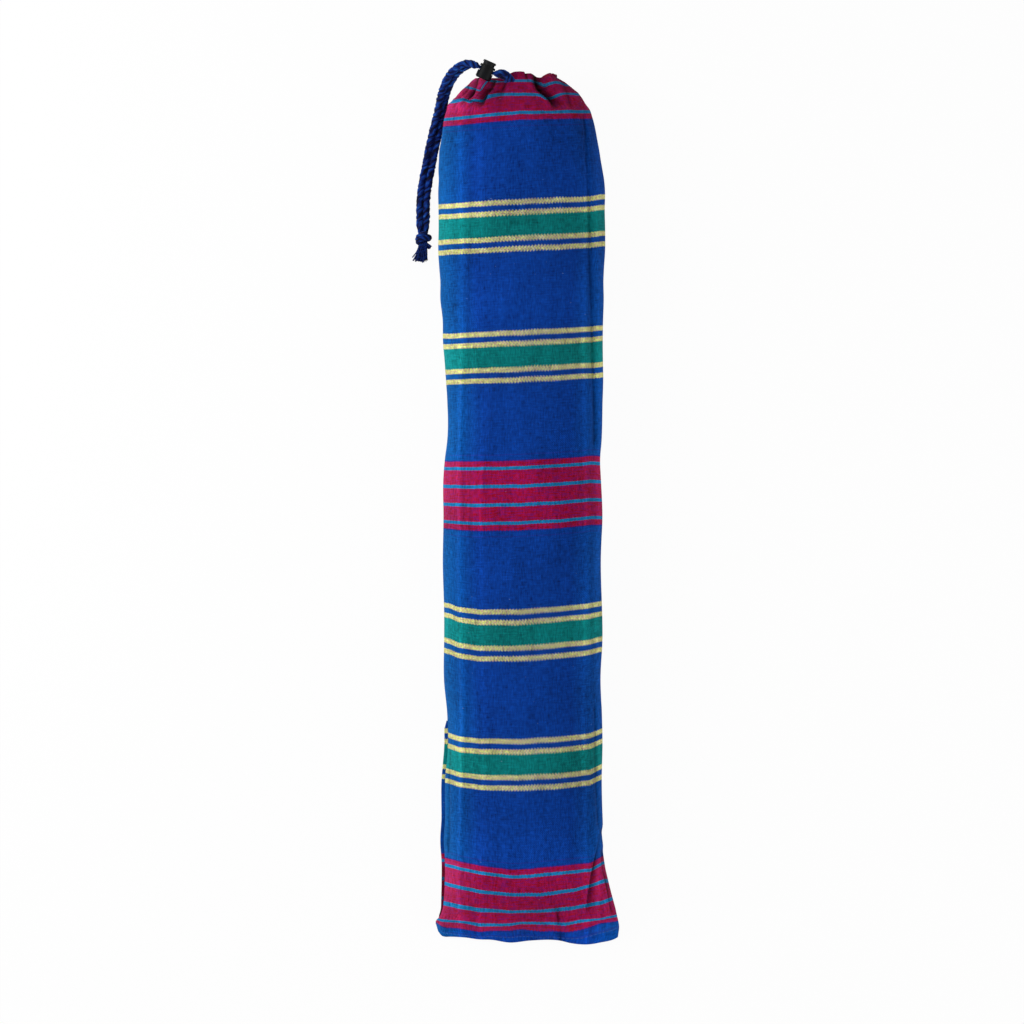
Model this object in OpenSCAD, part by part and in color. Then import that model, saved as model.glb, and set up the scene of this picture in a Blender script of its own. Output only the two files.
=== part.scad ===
// Packed hammock with stand: a drawstring carry bag of striped hammock cloth that lies on the
// ground, with the folded hammock and the knocked-down tubular stand inside it.
// +Y runs along the bag towards its mouth, +Z is up from the ground, and the origin is on the
// ground under the middle of the bag's box.

/* [Carry bag] */
// Thickness of the bag's cloth, doubled where it is felled
cloth_t = 2.5; // [1.5:0.1:3.5]
// Free width inside the bag beside the bottom row of tubes, on each side
side_room = 31.5; // [30:0.5:42]
// Free length inside the bag past the foot tubes, at the sewn end
seam_room = 80; // [72:1:110]
// Free length inside the bag past the foot tubes, at the mouth, with the gathers
mouth_room = 90; // [84:1:120]
// Length over which the bag thins towards its sewn end
taper_length = 130; // [110:1:160]
// Thickness of the bottom seam
seam_t = 10; // [8:0.5:14]
// How far the bottom seam's corner stands out on the left side
flare_left = 8; // [4:1:16]
// How far the bottom seam's corner stands out on the right side
flare_right = 24; // [16:1:34]

/* [Gathered mouth] */
// Width of the gathered mouth across its casing
mouth_width = 120; // [108:1:132]
// Depth of the gathered mouth across its casing
mouth_depth = 36; // [34:1:42]
// Height of the mouth's middle above the ground
mouth_z = 42; // [36:1:46]
// Height of the casing that the drawcord runs in
casing_height = 16; // [14:0.5:22]
// Thickness of one layer of cloth in the casing
casing_cloth = 1.2; // [0.8:0.1:1.4]
// Length over which the gathers open out to the bag's full width
shoulder_length = 95; // [80:1:115]
// Where the cords leave the casing, left of the bag's middle
exit_offset = 20; // [18:0.5:23]
// Length of the gap in the casing that the cords leave by
exit_gap = 18; // [16:0.5:20]

/* [Drawcord] */
// Diameter of the drawcord where it is loose
cord_d = 8; // [7:0.1:8.2]
// Diameter of each cord where the lock squeezes it
squeezed_d = 5; // [4.5:0.1:5.2]
// Diameter of the knot in the two tails
knot_d = 17; // [16.5:0.5:20]
// Length of the knot
knot_length = 12; // [9:0.5:16]
// Length of the frayed tassel past the knot
tassel_length = 25; // [18:0.5:35]

/* [Cord lock] */
// Outer diameter of the lock's barrel
lock_d = 20; // [19.4:0.1:21]
// Diameter of the lock's plunger
plunger_d = 15; // [14.5:0.1:15.4]
// Diameter of the plunger's thumb cap
thumb_d = 17; // [16:0.1:19]
// How far the plunger can be pressed
plunger_travel = 3; // [2:0.1:3.2]

/* [Stand tubes] */
// Outer diameter of the stand's tubes
tube_d = 32; // [30:0.5:35]
// Wall of the stand's tubes
tube_wall = 1.5; // [1.2:0.1:2]
// Gap between neighbouring tubes in the bag
tube_gap = 0.6; // [0.4:0.1:2]
// Length of the packed stand, over the foot tubes' end caps
packed_length = 920; // [870:1:980]
// How much shorter each upper arm is than a foot tube
arm_shorter = 12; // [8:1:60]
// Centreline radius of the bend in each lower arm
bend_r = 70; // [60:1:80]
// Angle of the bend in each lower arm
bend_angle = 45; // [40:1:48]
// Straight length of each lower arm past its bend, with its spigot
leg_length = 90; // [86:1:98]
// Length of the reduced end that plugs into the next tube
spigot_length = 55; // [50:1:60]
// Radial clearance between a spigot and the tube that it enters
spigot_clear = 0.3; // [0.2:0.05:0.5]
// Thickness of the plastic end caps outside their tubes
cap_t = 4; // [3:0.5:8]
// How deep the end caps reach into their tubes
cap_plug = 12; // [8:1:20]

/* [Snap buttons] */
// Diameter of each snap button
button_d = 8; // [7:0.1:9]
// How far a snap button stands proud of the outer tube
button_proud = 3.5; // [2.5:0.1:4.5]
// Width of the leaf spring under each snap button
leaf_w = 8; // [6:0.5:9]
// Thickness of the leaf spring
leaf_t = 0.6; // [0.4:0.05:0.8]
// Length of the leaf spring's legs
leaf_length = 35; // [25:1:40]

/* [Hammock] */
// Thickness of the folded hammock over the tubes
hammock_t = 21; // [17:0.5:28]
// Room past each hanging ring, to the end of the packed stand
ring_room = 37.4; // [30:0.2:60]
// Length of the bundled suspension cords at each end
end_cords_length = 76; // [60:1:84]
// Outer diameter of the hanging rings
ring_d = 46; // [40:1:52]
// Thickness of the hanging rings' wire
ring_wire = 6; // [5:0.5:8]

/* [Fasteners] */
// Thread diameter of the bolts and hooks
bolt_d = 8; // [6:0.5:8.5]
// Length of each foot bolt under its head
bolt_length = 75; // [72:1:90]
// Width across the corners of the hexagon heads and nuts
hex_d = 15; // [13.5:0.1:16]
// Height of the nuts
nut_t = 6.5; // [5:0.1:8]
// Length of each hook's threaded shank
shank_length = 60; // [40:1:80]
// Centreline radius of each hook's bow
hook_r = 18; // [15:0.5:20]

/* [Hidden] */
$fn = 48;
seat = 0.3; // gap between pieces that only rest on each other
snug = 0.05; // radial gap between a nut and its thread
fold_steps = 12; // facets of each rounded fold and bow drawn by functions

// Packing: the bottom row of four tubes, the lower arms over it, and the hammock on top
tube_r = tube_d / 2;
bore_r = tube_r - tube_wall;
pitch = tube_d + tube_gap;
row1_z = cloth_t + seat + tube_r;
row2_z = row1_z + tube_d + seat;
centre_z = row1_z + sqrt(pow(tube_d + seat, 2) - pow(pitch / 2, 2));
foot_x = 1.5 * pitch;
arm_x = pitch / 2;
lower_arm_x = pitch;
hammock_z = row2_z + tube_r + seat;
packed_half = packed_length / 2;
foot_length = packed_length - 2 * cap_t;
upper_arm_length = foot_length - arm_shorter;

// Bag: its box is centred on the origin, and its contents lie along the axis at axis_x, axis_y
bag_half_width = 2 * tube_d + 1.5 * tube_gap + side_room + cloth_t;
bag_depth = hammock_z + hammock_t + seat + cloth_t;
bag_length = 2 * packed_half + seam_room + mouth_room;
axis_x = (flare_left - flare_right) / 2;
axis_y = (seam_room - mouth_room) / 2;
seam_y = -bag_length / 2;
rim_y = bag_length / 2 - casing_height;
waist_share = 0.44; // height of the bag's widest line, as a share of its depth
low_power = 3.2; // how square the bag's lower corners are
top_power = 2.2; // how square its upper corners are
floor_press = 1.12; // how far the bag's underside is pressed flat by the ground
gather_power = 4; // how fast the cloth opens out from the mouth
corner_power = 1.2; // how fast the bottom seam's corners flare out
bag_sides = 40;

// Lower arms: each bent leg lies across the bottom row at one end of the packed stand
spigot_r = bore_r - spigot_clear;
spigot_bore_r = spigot_r - tube_wall;
shoulder_t = 3; // length of the thick ring where a spigot begins
leg_dir = [sin(bend_angle), cos(bend_angle)];
bend_lap = 0.8; // degrees that the bend runs on inside the straight tube's wall at each end
bend_thin = 0.05; // how much the bend's wall is drawn thinner, inside and out
tip_margin = 17; // from a leg's tip to the end of the packed stand
cross_room = 2.5; // between one arm's straight end and the other arm's leg
bend_end = bend_r * [1 - cos(bend_angle), sin(bend_angle)];
leg_reach = bend_end + leg_length * leg_dir;
bend_y = packed_half - tip_margin - leg_reach[1] - spigot_r * leg_dir[0];
// The straight end stops short of the other arm's leg, which crosses in front of it
cross_y = -bend_y - bend_end[1] - (2 * lower_arm_x - bend_end[0] - tube_r) / tan(bend_angle);
straight_y = cross_y + (tube_r + cross_room) / sin(bend_angle);
centre_length = 2 * bend_y;
button_inset = spigot_length / 2;
button_hole_d = button_d + 2 * seat;
button_travel = tube_r + button_proud - spigot_r + seat;
flange_t = 1.2;
flange_d = button_d + 3;
button_edge = 1.5;
flange_low = sqrt(pow(spigot_bore_r, 2) - pow(flange_d / 2, 2)) - seat - flange_t;
button_places = [
    [[-lower_arm_x, straight_y + button_inset], 180, 0],
    [[-lower_arm_x, bend_y] + leg_reach - button_inset * leg_dir, -bend_angle, 180],
    [[lower_arm_x, -straight_y - button_inset], 0, 0],
    [[lower_arm_x, -bend_y] - leg_reach + button_inset * leg_dir, 180 - bend_angle, 180]
];

// Folded hammock: its edges hang down beside the tubes, and its end cords gather to the rings
tuck_room = 18; // between the folded cloth's edge and the bag's side
tuck_drop = 11; // how far the cloth's edges hang below the tubes' tops
hammock_length = packed_length - 2 * (ring_room + ring_d + end_cords_length + 2 * seat);
bundle_wide = 110;
bundle_high = 12;
bundle_end = 3 * ring_wire;
slice = 1;

// Fasteners lie beside the foot tubes on the bag's floor
slot_x = foot_x + tube_r + seat + hex_d / 2;
slot_lift = 3; // room under the fasteners for the bag's rounded lower corner
slot_z = cloth_t + hex_d / 2 + slot_lift;
bolt_hole_d = bolt_d + 2 * seat;
bolt_head_t = 0.8 * nut_t;
hook_hole_inset = 2 * tube_d;
hook_y = 90;
bolt_y = -60;

// Gathered mouth: a flattened tunnel round the drawcord, on a track with round ends
mouth_r = mouth_depth / 2;
track_x = mouth_width / 2 - mouth_r;
casing_t = cord_d + 2 * seat + 2 * casing_cloth;
tunnel_r = mouth_r - casing_t / 2;
tunnel_y = bag_length / 2 - casing_t / 2;
tunnel_z = mouth_z + tunnel_r;
exit_right = exit_gap / 2 - exit_offset;
exit_left = -exit_gap / 2 - exit_offset;
hem_slit = 0.8; // between the two legs of the turned hem
hem_lift = 0.9; // from the rim to the end of the hem's inner leg
gather_angles = [for (a = [90:-15:-90]) a];

// Cord lock, in its own frame: the cords run along X, and the plunger's cap is at +Y
lock_tilt = 24;
lock_pos = [-52, 548.5, 70.5];
lock_low = -12;
lock_top = 6;
lock_wall = 1.5;
lock_edge = 1.5;
lip_edge = 0.8;
lock_bore_d = plunger_d + 0.4;
strand_z = squeezed_d / 2 + 0.15;
window_y = squeezed_d / 2 + seat;
window_z = strand_z + squeezed_d / 2 + seat;
plunger_low = -5;
thumb_low = lock_top + plunger_travel + 0.2;
thumb_t = 2.8;
lock_spring_d = 10;
lock_wire = 0.9;
lock_spring_turns = 3;

// Free tails: from the lock round to the ground and along the bag's left side, X, Y, Z
tail_a_route = [
    [-42.4, 544.2, 73.2], [-67.5, 555.4, 73.2], [-77, 557.2, 72], [-88, 552.5, 68],
    [-98, 543, 60.5], [-105, 529.5, 51], [-109.5, 514.5, 40.5], [-112.5, 499.5, 30.5],
    [-116, 484.5, 21], [-120, 468.5, 12], [-123.7, 452, 6.5], [-127.7, 431, 4.2],
    [-132.6, 406, 4.2], [-135, 383, 4.2], [-135.4, 363, 4.2], [-135.4, 343.5, 4.2]
];
tail_b_route = [
    [-42.4, 544.2, 67.9], [-67.5, 555.4, 67.9], [-76.5, 553.5, 65.5], [-85, 548.2, 61],
    [-93, 539, 54], [-99, 527, 45], [-103.3, 513.5, 35], [-106.1, 498.5, 25.5],
    [-109.1, 483.7, 16.5], [-112, 468, 9.5], [-115.4, 452, 5.2], [-119.4, 431, 4.2],
    [-124.3, 406, 4.2], [-126.8, 383, 4.2], [-127.2, 363, 4.2], [-127.2, 343.5, 4.2]
];
knot_x = -131.3;
knot_y = 343.5;

function unit(v) = v / norm(v);
function clamp(v) = min(1, max(0, v));
function mix(a, b, t) = a + (b - a) * t;

// A closed skin over rings that each have the same number of points
module skin(rings) {
    n = len(rings[0]);
    m = len(rings);
    sides = [
        for (j = [0:m - 2], k = [0:n - 1])
            let (a = j * n + k, b = j * n + (k + 1) % n)
                each [[a, b, b + n], [a, b + n, a + n]]
    ];
    near_cap = [[for (k = [n - 1:-1:0]) k]];
    far_cap = [[for (k = [0:n - 1]) (m - 1) * n + k]];
    polyhedron([for (r = rings) each r], concat(near_cap, sides, far_cap), convexity = 10);
}

// A round tube along a route, with a radius at each of its points
module cord(route, radii, across = [0, 0, 1], sides = 10) {
    top = len(route) - 1;
    skin([
        for (i = [0:top])
            let (t = unit(route[min(i + 1, top)] - route[max(i - 1, 0)]),
                 u = unit(cross(across, t)), v = cross(t, u))
                [for (k = [0:sides - 1])
                    route[i] + radii[i] * (cos(360 * k / sides) * v + sin(360 * k / sides) * u)]
    ]);
}

// One ring of the bag: half widths to each side, underside, top and widest line
function bag_ring(y, left, right, low, top, waist, square) = [
    for (i = [0:bag_sides - 1])
        let (a = 360 * i / bag_sides, c = cos(a), s = sin(a),
             power = mix(2, s < 0 ? low_power : top_power, square),
             reach = pow(abs(s), 2 / power))
            [axis_x + (c < 0 ? left : right) * sign(c) * pow(abs(c), 2 / power),
             y,
             s < 0 ? max(low, waist - (waist - low) * floor_press * reach)
                   : waist + (top - waist) * reach]
];

// The bag's section at one place along it, inside an offset of t from its outer face
function bag_section(y, t = 0) =
    let (open = clamp((rim_y - y) / shoulder_length),
         fill = clamp((y - seam_y) / taper_length),
         half = mix(bag_half_width, mouth_width / 2, pow(1 - open, gather_power)),
         corner = pow(1 - fill, corner_power),
         low = (mouth_z - mouth_r) * pow(1 - open, gather_power),
         full = mix(bag_depth, mouth_z + mouth_r, pow(1 - open, 3)),
         top = mix(full, seam_t, pow(1 - fill, 2)),
         waist = mix(low, top, mix(0.5, waist_share, open)))
        bag_ring(y, half + flare_left * corner - t, half + flare_right * corner - t,
                 low + t, top - t, waist, fill);

function spaced(length, steps, power) = [for (i = [0:steps]) length * pow(i / steps, power)];

// Height of the bag's inner face over the contents, at x from the bag's axis
function lining_z(x) =
    let (waist = bag_depth * waist_share, rise = bag_depth - cloth_t - waist)
        waist + rise * pow(1 - pow(abs(x) / (bag_half_width - cloth_t), top_power), 1 / top_power);

// Moves what is inside the bag from the contents' frame to the part's frame
module packed() translate([axis_x, axis_y, 0]) children();

// The same thing twice, the second turned half round the contents' middle
module both_ways() {
    children();
    rotate([0, 0, 180]) children();
}

module rod_y(r, from, to) translate([0, from, 0]) rotate([-90, 0, 0])
    cylinder(h = to - from, r = r);

module hex_y(from, to) translate([0, from, 0]) rotate([-90, 0, 0])
    cylinder(h = to - from, d = hex_d, $fn = 6);

module bag_body() color("royalblue") {
    ends = [for (d = spaced(taper_length, 10, 1.4)) seam_y + d];
    neck = [for (d = spaced(shoulder_length, 10, 1.6)) rim_y - d];
    outside = concat(ends, [for (i = [len(neck) - 1:-1:0]) neck[i]]);
    lip = 2;
    inside = [for (i = [len(outside) - 1:-1:lip]) outside[i]];
    skin(concat([for (y = outside) bag_section(y)], [for (y = inside) bag_section(y, cloth_t)]));
}

// A place on the mouth's track: the track's own middle, and the angle that it faces
function mouth_track() = concat(
    [[exit_right, 90]],
    [for (a = gather_angles) [track_x, a]],
    [for (a = gather_angles) [-track_x, a - 180]],
    [[exit_left, -270]]
);

function on_track(place, r, y) =
    [axis_x + place[0] + r * cos(place[1]), y, mouth_z + r * sin(place[1])];

// The casing's section: depth in from its outer face, and height over the rim
function fold(r) = [
    for (i = [0:fold_steps])
        let (a = mix(180, -40, i / fold_steps))
            [casing_t / 2 + r * cos(a), casing_height - casing_t / 2 + r * sin(a)]
];

module mouth_casing() color("mediumvioletred") {
    inner_fold = fold(casing_t / 2 - casing_cloth);
    section = concat(
        [[0, seat]], fold(casing_t / 2),
        [[2 * casing_cloth + hem_slit, hem_lift], [casing_cloth + hem_slit, hem_lift]],
        [for (i = [fold_steps:-1:0]) inner_fold[i]], [[casing_cloth, seat]]
    );
    skin([for (p = mouth_track()) [for (q = section) on_track(p, mouth_r - q[0], rim_y + q[1])]]);
}

module drawcord() color("midnightblue") {
    loop = [for (p = mouth_track()) on_track(p, tunnel_r, tunnel_y)];
    x = axis_x - exit_offset;
    near = tail_a_route[0];
    far = tail_b_route[0];
    run = unit(tail_a_route[1] - near);
    out_right = [
        near, near - 4 * run, [x - 5, tunnel_y + 1.5, near[2] - 1.7],
        [x, tunnel_y + 0.5, near[2] - 6.7], [x + 4, tunnel_y, tunnel_z + 5.5],
        [x + 7.3, tunnel_y, tunnel_z + 1.2]
    ];
    out_left = [
        [x - 6, tunnel_y + 0.5, tunnel_z + 1], [x - 3.5, tunnel_y + 2, tunnel_z + 3.5],
        [x - 3.5, tunnel_y + 4, tunnel_z + 7], [x - 7, tunnel_y + 5.3, tunnel_z + 10.5],
        far - 3 * run, far
    ];
    route = concat(out_right, loop, out_left);
    thin = squeezed_d / 2;
    cord(route, concat(
        [thin, thin, thin, 2.8, 3, 3.4], [for (p = loop) cord_d / 2],
        [3.2, 2.8, 2.7, thin, thin, thin]
    ), across = [0, 1, 0]);
}

function tail_radii(route) = [
    for (i = [0:len(route) - 1]) mix(squeezed_d, cord_d, clamp((i - 1) / 3)) / 2
];

module cord_tail_a() color("midnightblue") cord(tail_a_route, tail_radii(tail_a_route));

module cord_tail_b() color("midnightblue") cord(tail_b_route, tail_radii(tail_b_route));

module tail_knot() color("midnightblue") {
    edge = 2;
    translate([knot_x, knot_y, knot_d / 2]) rotate([90, 0, 0]) rotate_extrude() polygon([
        [0, 0], [knot_d / 2 - edge / 4, 0], [knot_d / 2, edge], [knot_d / 2, knot_length - 2 * edge],
        [knot_d / 2 - edge, knot_length], [0, knot_length]
    ]);
}

module tassel() color("midnightblue") {
    start = knot_y - knot_length;
    radii = [5.5, 6.5, 7, 7.5, 8];
    cord([
        for (i = [0:4])
            [knot_x - max(0, i - 1), start - i * tassel_length / 4, radii[max(1, i)]]
    ], radii, sides = 12);
}

module in_lock() translate(lock_pos) rotate([0, 0, -lock_tilt]) children();

// A slot for the two cords, one above the other, through the lock
module window(low, top, length) {
    for (z = [-strand_z, strand_z])
        translate([-length / 2, (low + top) / 2, z]) rotate([0, 90, 0])
            cylinder(h = length, r = window_z - strand_z);
    translate([-length / 2, low, -window_z]) cube([length, top - low, 2 * window_z]);
}

module lock_body() color("black") in_lock() difference() {
    rotate([-90, 0, 0]) translate([0, 0, lock_low]) rotate_extrude() polygon([
        [0, 0], [lock_d / 2 - lock_edge, 0], [lock_d / 2, lock_edge],
        [lock_d / 2, lock_top - lock_low - lip_edge],
        [lock_d / 2 - lip_edge, lock_top - lock_low], [0, lock_top - lock_low]
    ]);
    rod_y(lock_bore_d / 2, lock_low + lock_wall, lock_top + 1);
    window(-window_y, window_y, lock_d + 2);
}

module lock_plunger() color("black") in_lock() difference() {
    rotate([-90, 0, 0]) rotate_extrude() polygon([
        [0, plunger_low], [plunger_d / 2, plunger_low], [plunger_d / 2, thumb_low],
        [thumb_d / 2, thumb_low], [thumb_d / 2, thumb_low + thumb_t - 1],
        [thumb_d / 2 - 1, thumb_low + thumb_t], [0, thumb_low + thumb_t]
    ]);
    translate([-lock_d / 2, -window_y, -window_z])
        cube([lock_d, 2 * window_y + plunger_travel, 2 * window_z]);
}

module lock_spring() color("silver") in_lock() {
    low = lock_low + lock_wall + seat + lock_wire / 2;
    rise = plunger_low - seat - lock_wire / 2 - low;
    steps = lock_spring_turns * fold_steps;
    cord([
        for (i = [0:steps])
            let (a = 360 * i / fold_steps)
                [lock_spring_d / 2 * cos(a), low + rise * i / steps, lock_spring_d / 2 * sin(a)]
    ], [for (i = [0:steps]) lock_wire / 2], across = [0, 1, 0], sides = 6);
}

module hammock_bed() color("slateblue") packed() {
    flat_x = lower_arm_x + tube_r;
    edge_x = bag_half_width - cloth_t - tuck_room;
    edge_z = hammock_z - tuck_drop;
    edge = [[-edge_x, edge_z], [-flat_x, hammock_z], [flat_x, hammock_z], [edge_x, edge_z]];
    steps = 14;
    over = [for (i = [0:steps]) let (x = mix(edge_x, -edge_x, i / steps)) [x, lining_z(x) - seat]];
    translate([0, hammock_length / 2, 0]) rotate([90, 0, 0]) linear_extrude(hammock_length)
        polygon(concat(edge, over));
}

module hammock_end_cords() color("ivory") packed() both_ways() {
    start = hammock_length / 2 + seat;
    hull() {
        translate([-bundle_wide / 2, start, hammock_z]) cube([bundle_wide, slice, bundle_high]);
        translate([-bundle_end / 2, start + end_cords_length - slice, hammock_z])
            cube([bundle_end, slice, ring_wire]);
    }
}

module hanging_ring() {
    centre = hammock_length / 2 + 2 * seat + end_cords_length + ring_d / 2;
    translate([0, centre, hammock_z + ring_wire / 2]) rotate_extrude()
        translate([(ring_d - ring_wire) / 2, 0]) circle(d = ring_wire);
}

module hammock_ring_head() color("silver") packed() hanging_ring();

module hammock_ring_foot() color("silver") packed() rotate([0, 0, 180]) hanging_ring();

module foot_tube() translate([foot_x, 0, row1_z]) difference() {
    rod_y(tube_r, -foot_length / 2, foot_length / 2);
    rod_y(bore_r, -foot_length / 2 - 1, foot_length / 2 + 1);
    cylinder(h = 2 * tube_d, d = bolt_hole_d, center = true);
}

module foot_tube_right() color("dimgray") packed() foot_tube();

module foot_tube_left() color("dimgray") packed() rotate([0, 0, 180]) foot_tube();

// A plug cap for a tube whose open end is at y = 0
module end_cap() {
    rod_y(tube_r, 0, cap_t);
    rod_y(bore_r - seat, -cap_plug, 0);
}

module foot_caps() color("black") packed() both_ways() translate([foot_x, 0, row1_z]) {
    translate([0, foot_length / 2, 0]) end_cap();
    mirror([0, 1, 0]) translate([0, foot_length / 2, 0]) end_cap();
}

module centre_tube() color("dimgray") packed() translate([0, 0, centre_z]) difference() {
    rod_y(tube_r, -centre_length / 2, centre_length / 2);
    rod_y(bore_r, -centre_length / 2 - 1, centre_length / 2 + 1);
    for (side = [-1, 1])
        translate([0, side * (centre_length / 2 - button_inset), 0])
            cylinder(h = tube_d, d = button_hole_d);
}

// A lower arm's tube from its spigot's tip to its bend, with a thick ring at the shoulder
module arm_end(length) rotate([-90, 0, 0]) rotate_extrude() polygon([
    [spigot_bore_r, 0], [spigot_r, 0], [spigot_r, spigot_length], [tube_r, spigot_length],
    [tube_r, length], [bore_r, length], [bore_r, spigot_length + shoulder_t],
    [spigot_bore_r, spigot_length + shoulder_t]
]);

module arm_bend() translate([bend_r, bend_y, 0]) rotate([0, 0, 180 - bend_angle - bend_lap])
    rotate_extrude(angle = bend_angle + 2 * bend_lap) translate([bend_r, 0]) difference() {
        circle(r = tube_r - bend_thin);
        circle(r = bore_r + bend_thin);
    }

// Places a piece that runs along +Y on the leg past the bend
module at_leg() translate([bend_r, bend_y, 0]) rotate([0, 0, -bend_angle])
    translate([-bend_r, 0, 0]) children();

module lower_arm() translate([-lower_arm_x, 0, row2_z]) difference() {
    union() {
        translate([0, straight_y, 0]) arm_end(bend_y - straight_y);
        arm_bend();
        at_leg() translate([0, leg_length, 0]) mirror([0, 1, 0]) arm_end(leg_length);
    }
    translate([0, straight_y + button_inset, 0]) rotate([0, -90, 0])
        cylinder(h = tube_d, d = button_hole_d);
    at_leg() translate([0, leg_length - button_inset, 0]) rotate([0, -90, 0])
        cylinder(h = tube_d, d = button_hole_d);
    at_leg() translate([0, (leg_length - spigot_length) / 2, 0])
        cylinder(h = 2 * tube_d, d = bolt_hole_d, center = true);
}

module lower_arm_left() color("dimgray") packed() lower_arm();

module lower_arm_right() color("dimgray") packed() rotate([0, 0, 180]) lower_arm();

module upper_arm() translate([arm_x, 0, row1_z]) difference() {
    rod_y(tube_r, -upper_arm_length / 2, upper_arm_length / 2);
    rod_y(bore_r, -upper_arm_length / 2 - 1, upper_arm_length / 2 + 1);
    translate([0, upper_arm_length / 2 - hook_hole_inset, 0])
        cylinder(h = 2 * tube_d, d = bolt_hole_d, center = true);
    translate([0, button_inset - upper_arm_length / 2, 0]) cylinder(h = tube_d, d = button_hole_d);
}

module upper_arm_right() color("dimgray") packed() upper_arm();

module upper_arm_left() color("dimgray") packed() rotate([0, 0, 180]) upper_arm();

module arm_caps() color("black") packed() both_ways()
    translate([arm_x, upper_arm_length / 2, row1_z]) end_cap();

// Stands a snap button or its spring in its spigot: +X out through the wall, +Y to the tip
module at_button(place) packed()
    translate([place[0][0], place[0][1], row2_z]) rotate([0, place[2], place[1]]) children();

module snap_button(place) at_button(place) rotate([0, 90, 0]) {
    top = tube_r + button_proud;
    rotate_extrude() polygon([
        [0, flange_low], [flange_d / 2, flange_low], [flange_d / 2, flange_low + flange_t],
        [button_d / 2, flange_low + flange_t], [button_d / 2, top - button_edge],
        [button_d / 2 - button_edge, top], [0, top]
    ]);
}

// A folded strip with the given centreline and thickness
function strip(line, t) =
    let (top = len(line) - 1,
         side = [for (i = [0:top]) let (d = unit(line[min(i + 1, top)] - line[max(i - 1, 0)]))
             [-d[1], d[0]] * t / 2])
        concat([for (i = [0:top]) line[i] + side[i]], [for (i = [top:-1:0]) line[i] - side[i]]);

module snap_spring(place) at_button(place) {
    under = flange_low - seat - leaf_t / 2;
    floor_x = leaf_t / 2 + seat - sqrt(pow(spigot_bore_r, 2) - pow(leaf_w / 2, 2));
    fold_r = 3;
    line = concat([[under, flange_d / 2], [under, -flange_d / 2]],
                  [for (a = [60:-30:-60]) [fold_r * sin(a), -leaf_length - fold_r * cos(a)]],
                  [[floor_x, 0], [floor_x, flange_d / 2]]);
    translate([0, 0, -leaf_w / 2]) linear_extrude(leaf_w) polygon(strip(line, leaf_t));
}

module snap_button_1() color("silver") snap_button(button_places[0]);

module snap_button_2() color("silver") snap_button(button_places[1]);

module snap_button_3() color("silver") snap_button(button_places[2]);

module snap_button_4() color("silver") snap_button(button_places[3]);

module snap_spring_1() color("silver") snap_spring(button_places[0]);

module snap_spring_2() color("silver") snap_spring(button_places[1]);

module snap_spring_3() color("silver") snap_spring(button_places[2]);

module snap_spring_4() color("silver") snap_spring(button_places[3]);

module at_slot(y) translate([slot_x, y, slot_z]) children();

module hook() at_slot(hook_y) {
    rod_y(bolt_d / 2, 0, shank_length);
    translate([0, shank_length, hook_r]) rotate([0, 90, 0])
        rotate_extrude(angle = 180) translate([hook_r, 0]) circle(d = bolt_d);
    translate([0, shank_length - bolt_d, 2 * hook_r]) rod_y(bolt_d / 2, 0, bolt_d);
}

module hook_right() color("silver") packed() hook();

module hook_left() color("silver") packed() rotate([0, 0, 180]) hook();

module nut(y) difference() {
    hex_y(y, y + nut_t);
    rod_y(bolt_d / 2 + snug, y - 1, y + nut_t + 1);
}

module hook_nuts() color("silver") packed() both_ways() at_slot(hook_y) {
    nut(bolt_d);
    nut(shank_length / 2);
}

module foot_bolt() {
    hex_y(0, bolt_head_t);
    rod_y(bolt_d / 2, bolt_head_t, bolt_head_t + bolt_length);
}

module foot_bolts() color("silver") packed() both_ways() at_slot(bolt_y) foot_bolt();

module foot_nuts() color("silver") packed() both_ways() at_slot(bolt_y) nut(bolt_length - nut_t);

bag_body();
mouth_casing();
drawcord();
cord_tail_a();
cord_tail_b();
tail_knot();
tassel();
lock_body();
lock_plunger();
lock_spring();
hammock_bed();
hammock_end_cords();
hammock_ring_head();
hammock_ring_foot();
foot_tube_left();
foot_tube_right();
foot_caps();
centre_tube();
lower_arm_left();
lower_arm_right();
upper_arm_left();
upper_arm_right();
arm_caps();
snap_button_1();
snap_button_2();
snap_button_3();
snap_button_4();
snap_spring_1();
snap_spring_2();
snap_spring_3();
snap_spring_4();
hook_left();
hook_right();
hook_nuts();
foot_bolts();
foot_nuts();
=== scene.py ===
from math import cos, dist, pi, sin

import bpy
import numpy as np
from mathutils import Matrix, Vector


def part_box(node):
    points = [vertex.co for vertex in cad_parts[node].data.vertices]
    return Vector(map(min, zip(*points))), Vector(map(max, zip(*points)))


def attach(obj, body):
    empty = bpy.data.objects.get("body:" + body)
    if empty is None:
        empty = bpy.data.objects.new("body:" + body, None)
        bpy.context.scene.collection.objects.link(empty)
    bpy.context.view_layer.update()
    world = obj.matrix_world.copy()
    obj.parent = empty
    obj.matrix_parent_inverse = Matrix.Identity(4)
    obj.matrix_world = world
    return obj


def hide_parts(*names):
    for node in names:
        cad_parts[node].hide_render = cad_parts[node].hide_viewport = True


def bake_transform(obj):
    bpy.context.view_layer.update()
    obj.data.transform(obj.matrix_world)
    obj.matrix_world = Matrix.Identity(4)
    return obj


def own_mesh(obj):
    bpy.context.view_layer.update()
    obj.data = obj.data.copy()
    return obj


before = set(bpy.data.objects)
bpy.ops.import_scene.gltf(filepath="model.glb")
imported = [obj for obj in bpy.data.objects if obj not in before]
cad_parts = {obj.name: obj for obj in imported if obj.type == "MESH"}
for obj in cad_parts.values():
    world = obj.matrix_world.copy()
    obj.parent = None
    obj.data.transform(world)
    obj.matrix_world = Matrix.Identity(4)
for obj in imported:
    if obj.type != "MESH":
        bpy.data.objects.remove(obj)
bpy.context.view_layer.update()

MM = 0.001

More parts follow.
